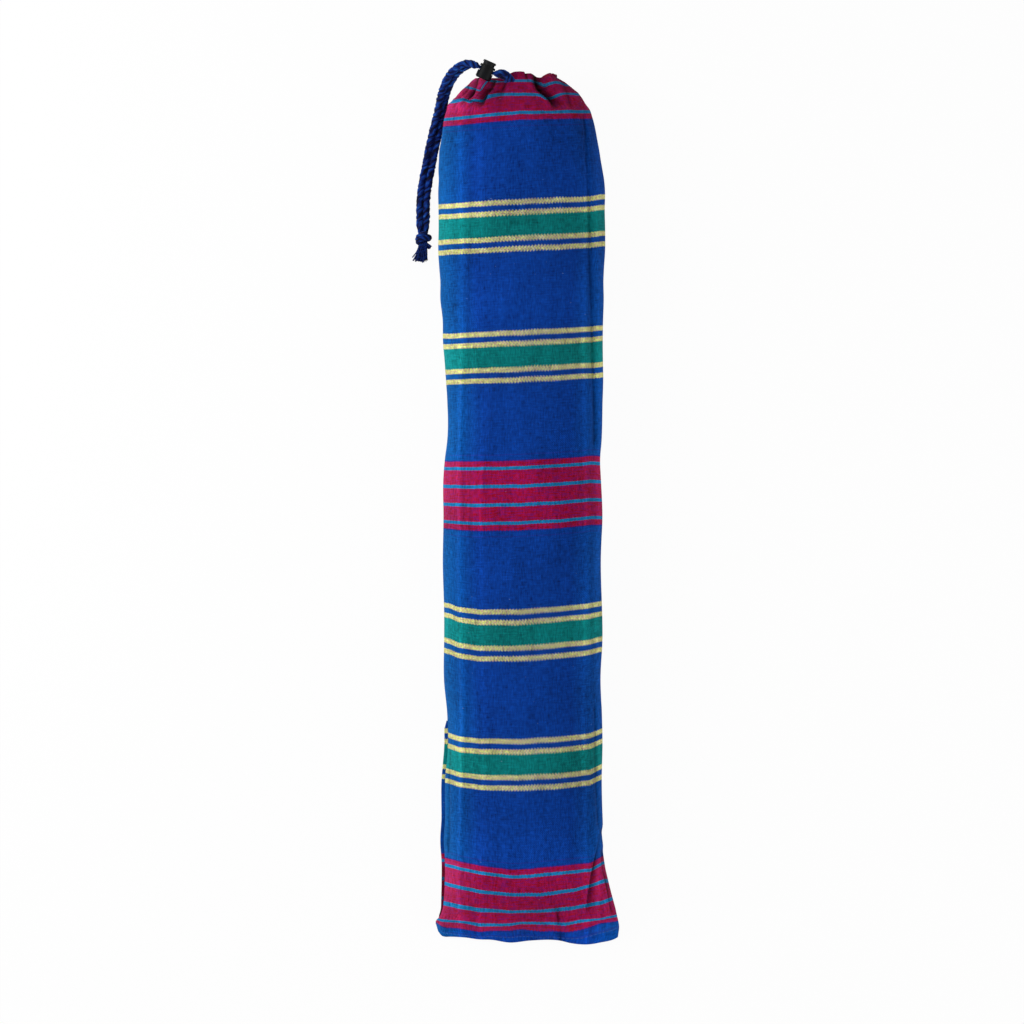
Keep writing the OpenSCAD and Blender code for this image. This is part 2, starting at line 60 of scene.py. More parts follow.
# ---- sizes, in millimetres
AXIS_X = -8.0  # the bag's long axis
MOUTH_TOP_Y = 545.0
RIM_Y = 529.0  # where the gathered casing begins
SEAM_Y = -545.0  # the sewn end
DEPTH = 91.2  # the bag's height over the ground
MOUTH_Z = 42.0
MOUTH_R = 18.0
SHOULDER = 95.0  # length over which the mouth draws the bag in
TAPER = 130.0  # length over which the filling runs out at the sewn end
WAIST_SHARE = 0.44  # how high up the bag is widest
LOW_POWER = 3.2  # how square its section is below the waist, and above it
TOP_POWER = 2.2
FLOOR_PRESS = 1.12  # how far the underside is pressed flat
WALL = 2.5  # the CAD bag's cloth
CLOTH_T = 1.2
COLUMNS = 216  # points round the bag
YARN = 1.1  # width of one yarn of the cloth
FLOAT = 3.75  # length over which the stripes' stepped weave repeats
CORD_D = 8.0
SQUEEZED_D = 5.0  # the cords inside the lock
ROPE_LAY = 31.0  # length of one turn of the cords' strands
STRANDS = 3
GROOVE = 0.22  # depth of the grooves between strands, as a share of the rope's radius
KNOT = (-131.3, 343.5, 8.3)

# The view from straight above, and the lamps: name, watts, width and place, in metres
VIEW_WIDTH = 1.28
VIEW_PLACE = (-0.02, -0.00375, 3)
LAMPS = (
    ("key_left", 40, 1.5, (-1.95, 0.45, 1.05)),
    ("fill_right", 9.5, 1.6, (1.7, -0.5, 1.3)),
)
LAMP_HEIGHT = 1.6
LAMP_AIM = Vector((0, 0, 0.03))


def hash01(*key):
    """A number from 0 to 1 that looks random and is the same each run."""
    x = sum((i + 1) * 12.9898 * k for i, k in enumerate(key))
    return (sin(x) * 43758.5453) % 1.0


def smooth(t):
    t = np.clip(t, 0, 1)
    return t * t * (3 - 2 * t)


def bell(d, width):
    """1 at no distance, and soon nothing past the width."""
    return np.exp(-((d / width) ** 2))


def table(x, pairs):
    """Value at x of a line through (x, value) pairs."""
    xs, ys = zip(*pairs)
    return np.interp(x, xs, ys)


def soft_table(x, pairs):
    """Value at x of a smooth curve through (x, value) pairs."""
    xs, ys = (np.array(a, float) for a in zip(*pairs))
    slope = np.gradient(ys, xs)
    i = np.clip(np.searchsorted(xs, x) - 1, 0, len(xs) - 2)
    h = xs[i + 1] - xs[i]
    t = np.clip((x - xs[i]) / h, 0, 1)
    a, b = 2 * t**3 - 3 * t**2 + 1, t**3 - 2 * t**2 + t
    c, d = -2 * t**3 + 3 * t**2, t**3 - t**2
    return a * ys[i] + b * h * slope[i] + c * ys[i + 1] + d * h * slope[i + 1]


def new_object(name, data):
    obj = bpy.data.objects.new(name, data)
    bpy.context.collection.objects.link(obj)
    return obj


# ---- node trees
def srgb(r, g, b):
    """Linear colour from a screen colour's three values, each 0 to 255."""

    def linear(c):
        c /= 255
        return c / 12.92 if c <= 0.04045 else ((c + 0.055) / 1.055) ** 2.4

    return (linear(r), linear(g), linear(b), 1.0)


class Tree:
    """A node tree, with one short call for each kind of node."""

    def __init__(self, tree):
        self.tree = tree

    def put(self, socket, value):
        if isinstance(value, bpy.types.NodeSocket):
            self.tree.links.new(value, socket)
        else:
            socket.default_value = value

    def node(self, kind, inputs=(), **settings):
        """A new node's outputs. Its inputs are values or sockets, by name or number."""
        n = self.tree.nodes.new("ShaderNode" + kind)
        for key, value in settings.items():
            setattr(n, key, value)
        for key, value in dict(inputs).items():
            self.put(n.inputs[key], value)
        return n.outputs

    def math(self, op, *values, clamp=False):
        return self.node("Math", enumerate(values), operation=op, use_clamp=clamp)[0]

    def times(self, a, b):
        return self.math("MULTIPLY", a, b)

    def times_add(self, a, b, c):
        return self.math("MULTIPLY_ADD", a, b, c)


class Shader(Tree):
    """A material's node tree, which feeds its principled shader."""

    def __init__(self, name, roughness, settings=()):
        self.mat = bpy.data.materials.new(name)
        self.mat.use_nodes = True
        super().__init__(self.mat.node_tree)
        self.bsdf = self.tree.nodes["Principled BSDF"].inputs
        self.bsdf["Roughness"].default_value = roughness
        for key, value in dict(settings).items():
            self.bsdf[key].default_value = value

    def uv(self, name):
        return self.node("UVMap", uv_map=name)[0]

    def attribute(self, name):
        return self.node("Attribute", attribute_name=name)["Fac"]

    def noise(self, vector, scale, detail):
        return self.node("TexNoise", {"Vector": vector, "Scale": scale, "Detail": detail})[0]

    def stretched(self, vector, sx, sy, sz=1, detail=2.0):
        """Noise with its own scale along each axis."""
        n = self.node("VectorMath", {0: vector, 1: (sx, sy, sz)}, operation="MULTIPLY")
        return self.noise(n[0], 1.0, detail)

    def ramp(self, fac, stops, steps=False):
        """Colours by fac, from (position, colour) stops."""
        n = self.node("ValToRGB", {0: fac})
        r = n[0].node.color_ramp
        r.interpolation = "CONSTANT" if steps else "LINEAR"
        first, *between, last = stops
        for element, (position, colour) in zip(r.elements, (first, last)):
            element.position = position
            element.color = colour
        for position, colour in between:
            r.elements.new(position).color = colour
        return n[0]

    def mix(self, fac, a, b):
        return self.node("Mix", {0: fac, 6: a, 7: b}, data_type="RGBA")[2]

    def colour(self, socket):
        self.put(self.bsdf["Base Color"], socket)

    def bump(self, height, distance, strength):
        inputs = {"Height": height, "Distance": distance, "Strength": strength}
        self.put(self.bsdf["Normal"], self.node("Bump", inputs)[0])

    def rough(self, fac, low, high):
        n = self.node("MapRange", {0: fac, "To Min": low, "To Max": high})
        self.put(self.bsdf["Roughness"], n[0])


# ---- camera, lights and floor
def camera():
    data = bpy.data.cameras.new("camera")
    data.type = "ORTHO"
    data.ortho_scale = VIEW_WIDTH
    data.clip_end = 20
    cam = new_object("camera", data)
    cam.location = VIEW_PLACE
    bpy.context.scene.camera = cam


def emptied(owner):
    """The node tree of a world or a material, with nothing in it."""
    owner.use_nodes = True
    owner.node_tree.nodes.clear()
    return Tree(owner.node_tree)


def lights():
    """Two soft lamps, and a world that lights at half of the white that it shows."""
    world = bpy.data.worlds.new("studio")
    bpy.context.scene.world = world
    t = emptied(world)
    seen = t.node("Background", {"Color": (1, 1, 1, 1)})[0]
    lit = t.node("Background", {"Strength": 0.5})[0]
    path = t.node("LightPath")
    shown = t.math("MAXIMUM", path["Is Camera Ray"], path["Is Glossy Ray"])
    both = t.node("MixShader", enumerate((shown, lit, seen)))[0]
    t.node("OutputWorld", {"Surface": both})
    for name, energy, width, place in LAMPS:
        data = bpy.data.lights.new(name, "AREA")
        data.energy = energy
        data.shape = "RECTANGLE"
        data.size = width
        data.size_y = LAMP_HEIGHT
        lamp = new_object(name, data)
        lamp.location = place
        aim = LAMP_AIM - Vector(place)
        lamp.rotation_euler = aim.to_track_quat("-Z", "Y").to_euler()
    bpy.context.scene.view_settings.view_transform = "Standard"


def floor():
    """A plain floor that looks nearly white and keeps some of the part's shadow."""
    mat = bpy.data.materials.new("floor_white")
    t = emptied(mat)
    diffuse = t.node("BsdfDiffuse", {"Color": (0.92, 0.92, 0.92, 1)})[0]
    white = t.node("Emission")[0]
    share = t.times(t.node("LightPath")["Is Camera Ray"], 0.955)
    both = t.node("MixShader", enumerate((share, diffuse, white)))[0]
    t.node("OutputMaterial", {"Surface": both})
    half = 20
    corners = [(-half, -half, 0), (half, -half, 0), (half, half, 0), (-half, half, 0)]
    obj = add_mesh("floor", corners, [(0, 1, 2, 3)], mat)
    obj.location.z = -0.0004


# ---- materials
BLUE = srgb(9, 61, 153)
# A lighter, more cyan blue: painted light on the bag's lit edges
LIT_BLUE = srgb(9, 92, 164)
GREEN = srgb(7, 118, 118)
# A lighter green: painted light on the bag's lit edges
LIT_GREEN = srgb(14, 140, 142)
MAGENTA = srgb(160, 18, 76)
# A lighter, pinker magenta: painted light on the bag's lit edges
LIT_MAGENTA = srgb(196, 66, 116)
PURPLE = srgb(120, 18, 92)
RED = srgb(168, 12, 44)
TEAL = srgb(28, 118, 184)
TEAL_GREEN = srgb(24, 128, 140)
YELLOW = srgb(206, 208, 150)
LEMON = srgb(222, 226, 108)
ORANGE = srgb(216, 176, 140)
PALE = srgb(140, 168, 214)
VIOLET = srgb(48, 34, 130)

# Middles of the woven bands, in millimetres down the cloth from the bag's middle
MAGENTA_BANDS = (-530.5, -17, 494)
GREEN_BANDS = (-355, -191, 158, 320)
# Stripes of a band: millimetres from its middle, and how much of one there is from there on
TEAL_STRIPES = ((0, 0), (9.3, 1), (13.6, 0), (32.2, 1), (36.5, 0))
MAGENTA_GROUND = ((0, 1), (43.2, 0))
VIOLET_EDGES = ((0, 0), (43.2, 1), (44.6, 0), (50.5, 0.35), (52, 0))
GREEN_GROUND = ((0, 1), (12.9, 0))
YELLOW_STRIPES = ((0, 0), (12.9, 1), (19, 0), (26.1, 1), (32.2, 0))
BAND_REACH = 60.0
# How far the stripes' edges step with the weave
MAGENTA_STEP = 0.45
GREEN_STEP = 1.45
# The bag's middle, across the cloth from the seam, and how far the light rakes it from there
MIDDLE_U = 135.0
RAKED = 85.0
STITCH_ROWS = ((547, 0.6), (-543, 0.5))  # row of the pattern, and half the thread's width
STITCH = 3.4
STITCH_STEP = 4.8
FAR_U = 3000.0  # keeps what repeats across the cloth above zero


def striped_cloth(name, light_tint=1.0):
    """Coarse cotton with the magenta, teal, green and yellow bands woven in."""
    sheen = {"Sheen Weight": 0.03, "Sheen Roughness": 0.5, "Specular IOR Level": 0.04}
    s = Shader(name, 0.9, sheen)
    uv = s.uv("cloth")
    u, v, _ = s.node("SeparateXYZ", {0: uv})
    far_u = s.math("ADD", u, FAR_U)
    # The weave shows most along the bag's middle, where the light rakes across it
    off_middle = s.math("ABSOLUTE", s.math("SUBTRACT", u, MIDDLE_U))
    middle = s.math("SUBTRACT", 1.0, s.math("DIVIDE", off_middle, RAKED), clamp=True)
    tooth = s.math("PINGPONG", far_u, FLOAT / 2)
    wobble = s.stretched(uv, 0.04, 0.016)
    depth = s.times_add(middle, 0.75, 0.4)
    step = s.times(s.math("SUBTRACT", tooth, FLOAT / 4), depth)
    row = s.math("ADD", v, s.times_add(wobble, 2.0, -1.0))

    def nearest(centres, steps):
        """Distance to the nearest band's middle, as a share of the bands' reach."""
        place = s.times_add(step, steps, row)
        d = None
        for c in centres:
            gap = s.math("ABSOLUTE", s.math("SUBTRACT", place, c))
            d = gap if d is None else s.math("MINIMUM", d, gap)
        return s.math("DIVIDE", d, BAND_REACH)

    def bands(near, edges):
        return s.ramp(near, [(e / BAND_REACH, (t, t, t, 1)) for e, t in edges], steps=True)

    near_m = nearest(MAGENTA_BANDS, MAGENTA_STEP)
    near_g = nearest(GREEN_BANDS, GREEN_STEP)

    # Threads: short floats that step sideways from row to row, and single uneven yarns
    def crossing(length):
        across = s.math("SINE", s.times(u, 2 * pi / length))
        along = s.math("SINE", s.times(v, 2 * pi / length))
        return s.times(across, along)

    weave, floats = crossing(2 * YARN), crossing(FLOAT)
    grain = s.stretched(uv, 0.62, 0.62)
    warp = s.stretched(uv, 0.6, 0.11)
    weft = s.stretched(uv, 0.09, 0.55)
    streak = s.stretched(uv, 0.12, 0.01)
    broad = s.stretched(uv, 0.012, 0.01)

    # Painted light: where the light tint is high, at the bag's edges, the blue, green and magenta
    # turn to their lighter copies
    light_tinted = s.times(s.attribute("light_tint"), light_tint)
    cloth = s.mix(light_tinted, BLUE, LIT_BLUE)
    cloth = s.mix(s.times(bands(near_m, VIOLET_EDGES), 0.8), cloth, VIOLET)
    tint = s.times_add(weft, 0.6, s.times(grain, 0.4))
    tint = s.ramp(tint, [(0.42, RED), (0.5, MAGENTA), (0.59, PURPLE)])
    tint = s.mix(s.times(light_tinted, 0.3), tint, LIT_MAGENTA)
    cloth = s.mix(bands(near_m, MAGENTA_GROUND), cloth, tint)
    greener = s.times(s.math("GREATER_THAN", grain, 0.56), 0.8)
    cloth = s.mix(bands(near_m, TEAL_STRIPES), cloth, s.mix(greener, TEAL, TEAL_GREEN))
    cloth = s.mix(bands(near_g, GREEN_GROUND), cloth, s.mix(light_tinted, GREEN, LIT_GREEN))
    speck = s.stretched(uv, 0.5, 0.42)
    straw = s.ramp(speck, [(0.38, ORANGE), (0.48, YELLOW), (0.6, LEMON)])
    checker = s.math("GREATER_THAN", s.times_add(grain, 0.8, floats), 0.56)
    checker = s.times(checker, s.times_add(middle, 0.6, 0.15))
    cloth = s.mix(bands(near_g, YELLOW_STRIPES), cloth, s.mix(checker, straw, BLUE))

    value = s.times_add(weave, 0.2, 1.0)
    for part, much in ((grain, 0.7), (warp, 1.5), (weft, 1.1), (streak, 0.5), (broad, 0.8)):
        value = s.times_add(s.math("SUBTRACT", part, 0.5), much, value)
    # The shade attribute is painted light and shade, carried by the mesh
    bright = s.times(value, s.attribute("shade"))
    cloth = s.node("VectorMath", {0: cloth, "Scale": bright}, operation="SCALE")[0]

    slub = s.math("GREATER_THAN", s.stretched(uv, 0.2, 0.34, detail=1.0), 0.8)
    cloth = s.mix(s.times(slub, 0.45), cloth, PALE)
    thread = s.math("LESS_THAN", s.math("PINGPONG", far_u, STITCH_STEP / 2), STITCH / 2)
    seam = s.math("MAXIMUM", *(s.math("COMPARE", v, *row_place) for row_place in STITCH_ROWS))
    cloth = s.mix(s.times(s.times(seam, thread), 0.14), cloth, PALE)
    s.colour(cloth)
    relief = s.times_add(weave, 0.55, s.times(warp, 0.8))
    relief = s.times_add(weft, 0.6, relief)
    relief = s.math("SUBTRACT", relief, s.times(seam, 0.8))
    s.bump(relief, 0.0007, 0.75)
    return s.mat


def rope_cotton():
    """Soft-laid dyed navy cotton cord, painted lighter blue on the strands' crowns as a highlight.
    """
    s = Shader("navy_cord", 0.82, {"Sheen Weight": 0.06, "Specular IOR Level": 0.1})
    uv = s.uv("lay")
    fibre = s.stretched(uv, 6.0, 0.9, detail=3.0)
    patch = s.stretched(uv, 1.1, 1.2)
    crown = s.attribute("crown")
    # Painted highlight on the strands' crowns and painted shade in the grooves between them
    tone = s.times_add(crown, 0.48, s.times(fibre, 0.9))
    tone = s.math("ADD", tone, s.times_add(patch, 1.25, -1.01))
    # Painted light: the cord lighter towards the mouth
    tone = s.math("ADD", tone, s.times(s.attribute("mouth_light"), 0.09))
    blues = [
        (0.05, srgb(0, 2, 22)),
        (0.34, srgb(2, 12, 66)),
        (0.62, srgb(11, 54, 138)),
        (1.0, srgb(46, 120, 200)),
    ]
    s.colour(s.ramp(tone, blues))
    s.bump(s.math("ADD", fibre, s.times(crown, 0.5)), 0.0007, 0.8)
    return s.mat


def pale_cord():
    """Undyed cotton string."""
    s = Shader("suspension_cotton", 0.85, {"Sheen Weight": 0.4})
    fibre = s.stretched(s.uv("lay"), 8.0, 0.5, detail=3.0)
    crown = s.attribute("crown")
    # Painted highlight on the strands' crowns, painted shade in the grooves
    tone = s.times_add(crown, 0.5, s.times(fibre, 0.5))
    s.colour(s.ramp(tone, [(0.1, srgb(150, 138, 112)), (0.8, srgb(228, 220, 198))]))
    s.bump(s.math("ADD", fibre, crown), 0.0004, 0.6)
    return s.mat


def coat(name, roughness, specular, scales, tones, rough, bump, worn=None):
    """Plastic or paint, with fine grain and patches of two tones, and maybe worn spots.

    scales are the grain's and the patches', and tones are stops of dark and light patches.
    worn is the spots' scale, detail and threshold, how much they show, and their colour.
    """
    s = Shader(name, roughness, {"Specular IOR Level": specular})
    where = s.node("TexCoord")["Object"]
    patch = s.noise(where, scales[1], 3.0)
    tone = s.ramp(patch, [(at, srgb(*colour)) for at, colour in tones])
    if worn:
        scale, detail, threshold, much, colour = worn
        spots = s.math("GREATER_THAN", s.noise(where, scale, detail), threshold)
        tone = s.mix(s.times(spots, much), tone, srgb(*colour))
    s.colour(tone)
    s.rough(patch, *rough)
    s.bump(s.noise(where, scales[0], 2.0), *bump)
    return s.mat


def lock_black():
    """Moulded plastic, greyer where it is worn."""
    tones = [(0.3, (3, 4, 5)), (0.8, (11, 13, 17))]
    worn = (140, 3.0, 0.66, 0.5, (34, 39, 46))
    return coat("lock_black", 0.42, 0.1, (2600, 140), tones, (0.3, 0.5), (0.00008, 0.6), worn)


def button_black():
    tones = [(0.3, (3, 4, 6)), (0.75, (18, 21, 26))]
    rough, bump = (0.22, 0.42), (0.00006, 0.6)
    return coat("lock_button_black", 0.36, 0.12, (1900, 220), tones, rough, bump)


def tube_paint():
    """Dark powder coat with an orange-peel skin and a few rubbed spots."""
    tones = [(0.3, (38, 40, 44)), (0.75, (58, 61, 66))]
    rubbed = (190, 4.0, 0.72, 0.4, (96, 98, 100))
    return coat("powder_coat", 0.5, 0.5, (900, 30), tones, (0.4, 0.6), (0.00012, 0.5), rubbed)


def cap_plastic():
    tones = [(0.3, (20, 20, 21)), (0.8, (40, 40, 42))]
    return coat("cap_plastic", 0.55, 0.5, (1500, 90), tones, (0.45, 0.68), (0.0001, 0.5))


def metal(name, light, dark, low, high):
    """Brushed steel between two greys, its roughness between low and high."""
    s = Shader(name, 0.3, {"Metallic": 1.0})
    where = s.node("TexCoord")["Object"]
    brushed = s.stretched(where, 30, 900, 900, 3.0)
    patch = s.noise(where, 60, 3.0)
    tone = s.math("ADD", brushed, s.math("SUBTRACT", patch, 0.5))
    s.colour(s.ramp(tone, [(0.25, srgb(*dark)), (0.8, srgb(*light))]))
    s.rough(brushed, low, high)
    s.bump(brushed, 0.00004, 0.5)
    return s.mat


# ---- mesh helpers
def add_mesh(name, verts, faces, mat):
    mesh = bpy.data.meshes.new(name)
    mesh.from_pydata([tuple(v) for v in verts], [], faces)
    mesh.update()
    mesh.shade_smooth()
    mesh.materials.append(mat)
    return new_object(name, mesh)


def set_uv(obj, name, per_vertex):
    """A UV map from one (u, v) for each vertex."""
    layer = obj.data.uv_layers.new(name=name)
    idx = np.zeros(len(obj.data.loops), np.int32)
    obj.data.loops.foreach_get("vertex_index", idx)
    layer.data.foreach_set("uv", np.asarray(per_vertex, np.float32)[idx].ravel())


def set_value(obj, name, per_vertex):
    att = obj.data.attributes.new(name, "FLOAT", "POINT")
    att.data.foreach_set("value", np.asarray(per_vertex, np.float32))


def thicken(obj, thickness, offset):
    """Give a sheet its thickness, in millimetres, and make it part of the mesh."""
    thick = obj.modifiers.new("cloth", "SOLIDIFY")
    thick.thickness = thickness * MM
    thick.offset = offset
    dg = bpy.context.evaluated_depsgraph_get()
    mesh = bpy.data.meshes.new_from_object(obj.evaluated_get(dg), depsgraph=dg)
    obj.modifiers.clear()
    old = obj.data
    obj.data = mesh
    bpy.data.meshes.remove(old)


def sheet(name, verts, columns, uvs, shade, light_tint, thickness, mat):
    """Cloth made of rows of points, in metres, with what its material reads."""
    faces = []
    for i in range(len(verts) // columns - 1):
        for k in range(columns - 1):
            a = i * columns + k
            faces.append((a, a + 1, a + columns + 1, a + columns))
    obj = add_mesh(name, verts, faces, mat)
    set_uv(obj, "cloth", uvs)
    set_value(obj, "shade", shade)
    # The painted light tint, the same all over the sheet
    set_value(obj, "light_tint", np.full(len(verts), light_tint))
    thicken(obj, thickness, 0)
    return obj


def run_along(line):
    """How far along a line each of its points is."""
    steps = np.linalg.norm(np.diff(line, axis=0), axis=1)
    return np.concatenate([[0], np.cumsum(steps)])


# ---- ropes
def dense(route, step):
    """A smooth line through the route's points, with a point every step."""
    p = np.array(route, float)
    ends = np.vstack([2 * p[0] - p[1], p, 2 * p[-1] - p[-2]])
    fine = []
    for i in range(1, len(ends) - 2):
        a, b, c, d = ends[i - 1 : i + 3]
        for t in np.arange(0, 1, 0.02):
            bend = (2 * a - 5 * b + 4 * c - d) * t**2 + (3 * b - 3 * c + d - a) * t**3
            fine.append(0.5 * (2 * b + (c - a) * t + bend))
    fine = np.array(fine + [p[-1]])
    run = run_along(fine)
    n = max(3, int(round(run[-1] / step)))
    at = np.linspace(0, run[-1], n + 1)
    return np.stack([np.interp(at, run, fine[:, k]) for k in range(3)], 1), at


def crosswise(line):
    """Two directions across a line at each point, turning as little as they can."""
    t = np.gradient(line, axis=0)
    t /= np.linalg.norm(t, axis=1)[:, None]
    u = np.zeros_like(t)
    start = np.cross(t[0], [0, 0, 1.0])
    if np.linalg.norm(start) < 0.1:
        start = np.cross(t[0], [0, 1.0, 0])
    u[0] = start / np.linalg.norm(start)
    for i in range(1, len(t)):
        w = u[i - 1] - t[i] * np.dot(u[i - 1], t[i])
        u[i] = w / np.linalg.norm(w)
    return u, np.cross(t, u)


def rope_rings(route, radius_at, lay, turn=0.0, step=0.9, sides=24):
    """Rings of a laid rope: its strands turn once round the route in each lay.

    radius_at takes the share of the whole length, and the length, up to a ring.
    """
    line, at = dense(route, step)
    u, v = crosswise(line)
    ang = np.linspace(0, 2 * np.pi, sides, endpoint=False)
    loose = 0.55 * np.sin(at * 0.19 + turn) + 0.3 * np.sin(at * 0.47 + 2 * turn)
    twist = 2 * np.pi * at / lay + turn + loose
    phase = ang[None, :] - twist[:, None]
    crown = np.abs(np.cos(phase * STRANDS / 2)) ** 0.8
    fuzz = [[hash01(i * 0.37 + lay, j * 1.7) for j in range(sides)] for i in range(len(at))]
    r = np.array([radius_at(a / at[-1], a) for a in at])[:, None]
    lumps = 0.5 * np.sin(at * 0.83 + 3 * turn) + 0.5 * np.sin(at * 1.31 + 5 * turn)
    yarns = np.cos(phase * STRANDS * 2.5 + 0.4)
    r = r * (1 - GROOVE + GROOVE * crown + 0.03 * yarns)
    r = r * (1 + 0.05 * (np.array(fuzz) - 0.5))
    r = r * (1 + 0.045 * lumps[:, None])
    across = (r * np.cos(ang))[:, :, None] * u[:, None, :]
    up = (r * np.sin(ang))[:, :, None] * v[:, None, :]
    ring = line[:, None, :] + across + up
    lay_u = np.broadcast_to(phase / (2 * np.pi) * STRANDS, crown.shape)
    lay_v = np.broadcast_to(at[:, None] / 10, crown.shape)
    return line, ring, crown, np.stack([lay_u, lay_v], 2)


def tube_faces(m, n, base):
    """The faces of a closed tube of m rings with n points each."""
    faces = []
    for i in range(m - 1):
        for j in range(n):
            a, b = base + i * n + j, base + i * n + (j + 1) % n
            faces.append((a, b, b + n, a + n))
    faces.append(tuple(base + j for j in range(n - 1, -1, -1)))
    faces.append(tuple(base + (m - 1) * n + j for j in range(n)))
    return faces


def rope(name, strands, mat):
    """One object of one or more ropes. strands is a list of rope_rings' results."""
    verts, faces, crowns, uvs = [], [], [], []
    for _, ring, crown, uv in strands:
        m, n = crown.shape
        faces += tube_faces(m, n, sum(len(v) for v in verts))
        verts.append(ring.reshape(-1, 3) * MM)
        crowns.append(crown.ravel())
        uvs.append(uv.reshape(-1, 2))
    verts = np.concatenate(verts)
    obj = add_mesh(name, verts, faces, mat)
    set_value(obj, "crown", np.concatenate(crowns))
    # Painted light: how much lighter the cord is towards the mouth
    set_value(obj, "mouth_light", smooth((verts[:, 1] - 0.49) / 0.05))
    set_uv(obj, "lay", np.concatenate(uvs))
    return obj


TAIL_A = [
    (-42.4, 544.2, 73.2), (-67.5, 555.4, 73.2), (-77, 557.2, 72), (-88, 552.5, 68),
    (-98, 543, 60.5), (-105, 529.5, 51), (-109.5, 514.5, 40.5), (-112.5, 499.5, 30.5),
    (-116, 484.5, 21), (-120, 468.5, 12), (-123.7, 452, 6.5), (-127.7, 431, 4.2),
    (-132.6, 406, 4.2), (-135, 383, 4.2), (-135.2, 363, 4.2), (-134.2, 343.5, 4.2),
]
TAIL_B = [
    (-42.4, 544.2, 67.9), (-67.5, 555.4, 67.9), (-76.5, 553.5, 65.5), (-85, 548.2, 61),
    (-93, 539, 54), (-99, 527, 45), (-103.3, 513.5, 35), (-106.1, 498.5, 25.5),
    (-109.1, 483.7, 16.5), (-112, 468, 9.5), (-115.4, 452, 5.2), (-119.4, 431, 4.2),
    (-124.3, 406, 4.2), (-127, 383, 4.2), (-127.2, 363, 4.2), (-128.4, 343.5, 4.2),
]
LOCK_LONG = 20.6  # how much of each tail is inside the lock


def tail(name, route, turn, mat):
    """A free tail, thin inside the lock and drawn in at the knot, and its middle line."""
    length = sum(dist(a, b) for a, b in zip(route, route[1:]))
    thin, full = SQUEEZED_D / 2 * 0.88, CORD_D / 2 * 1.18

    def radius(share, at):
        grow = min(1, max(0, (at - LOCK_LONG) / 4.5))
        neck = smooth((at - (length - 9)) / 9)
        return (thin + (full - thin) * grow) * (1 - 0.34 * neck)

    rings = rope_rings(route, radius, ROPE_LAY, turn)
    return rope(name, [rings], mat), rings[0] * MM


def knot(mat):
    """The overhand knot: a cord wrapped one and a half times round a short core."""
    x0, y0, z0 = KNOT
    turns = 1.55
    line = []
    for i in range(36):
        t = i / 35
        a = 2 * pi * turns * t + 0.9
        reach = 6.0 - 2.4 * max(0, 1 - 6 * t) - 3.0 * max(0, 1 - 6 * (1 - t))
        reach += 1.4 * max(0, cos(a - 0.3)) * sin(pi * t)
        lean = 2.9 * sin(a + 0.6)
        across = x0 + reach * cos(a)
        up = z0 + (min(reach, 5.6) - 1.4) * sin(a)
        line.append((across, y0 - 2.4 - 6.6 * t + lean, up))
    wrap = rope_rings(line, lambda share, at: 4.0, 17.0, 0.4, 0.8, 22)
    through = [
        (x0 - 1.2, y0 + 2, 6.0), (x0 - 0.8, y0 - 3, 7.5), (x0 + 0.6, y0 - 8, 7.5),
        (x0, y0 - 12, 6.5),
    ]
    core = rope_rings(through, lambda share, at: 3.8, 15.0, 1.2, 0.8, 18)
    return rope("drawcord_knot", [wrap, core], mat)


def strand_end(k, top_y):
    """One strand's own end, thick and cut ragged, in two layers of seven."""
    a, b, c = (hash01(k, j, 7.7) for j in range(3))
    spread = (k % 7 - 3) / 3
    high = 3.2 + 3.4 * (k // 7)
    x = KNOT[0]
    end_y = top_y - 20.5 - 4 * b + 2 * abs(spread)
    points = [
        (x + 2.8 * spread, top_y + 2, high + 2.4),
        (x - 0.4 + 4.6 * spread, top_y - 11, high + 0.6),
        (x - 1.2 + 5.6 * spread + (a - 0.5), end_y, high - 1.0),
    ]
    return rope_rings(points, lambda share, at: 1.75 - 0.35 * share, 9.0, 6 * c, 0.9, 12)


def loose_yarn(k, top_y):
    """One unravelled yarn. Of every eleven, two flare at the right and two at the left."""
    a, b, c, d = (hash01(k, j, 3.1) for j in range(4))
    spread = (a - 0.5) * 2
    low = 1.0 + 9.0 * b * (1 - 0.35 * abs(spread))
    length = 20.5 + 6.0 * c - 2.5 * abs(spread)
    x, y, z = KNOT[0] + 4.0 * spread, top_y + 1.0, 3 + 7 * b
    end_x = KNOT[0] - 1.0 + 6.2 * spread
    side, thick = 0, 0.75
    if k % 11 < 2:  # the tuft on the right, just under the knot
        side, length, low, thick = 5.2 + 2.2 * c, 4 + 5 * d, 3 + 6 * b, 1.15
    elif k % 11 < 4:  # the flare at the lower left
        side, length, thick = -5.0 - 3.0 * d, 19 + 6 * c, 1.0
    points = []
    for i in range(6):
        t = i / 5
        px = x + (end_x - x) * t + side * t**1.6 + 0.7 * sin(5 * t + 9 * d)
        pz = z + (low - z) * t + 0.5 * sin(4 * t + 6 * a)
        points.append((px, y - length * t, max(0.95, pz)))
    return rope_rings(points, lambda share, at: thick * (1.15 - 0.4 * share), 5.0, 6 * a, 1.4, 6)


def tassel(mat):
    """The frayed ends past the knot, fanned out and lying on the ground."""
    top_y = KNOT[1] - 10.5
    yarns = [strand_end(k, top_y) for k in range(14)]
    yarns += [loose_yarn(k, top_y) for k in range(110)]
    return rope("drawcord_tassel", yarns, mat)


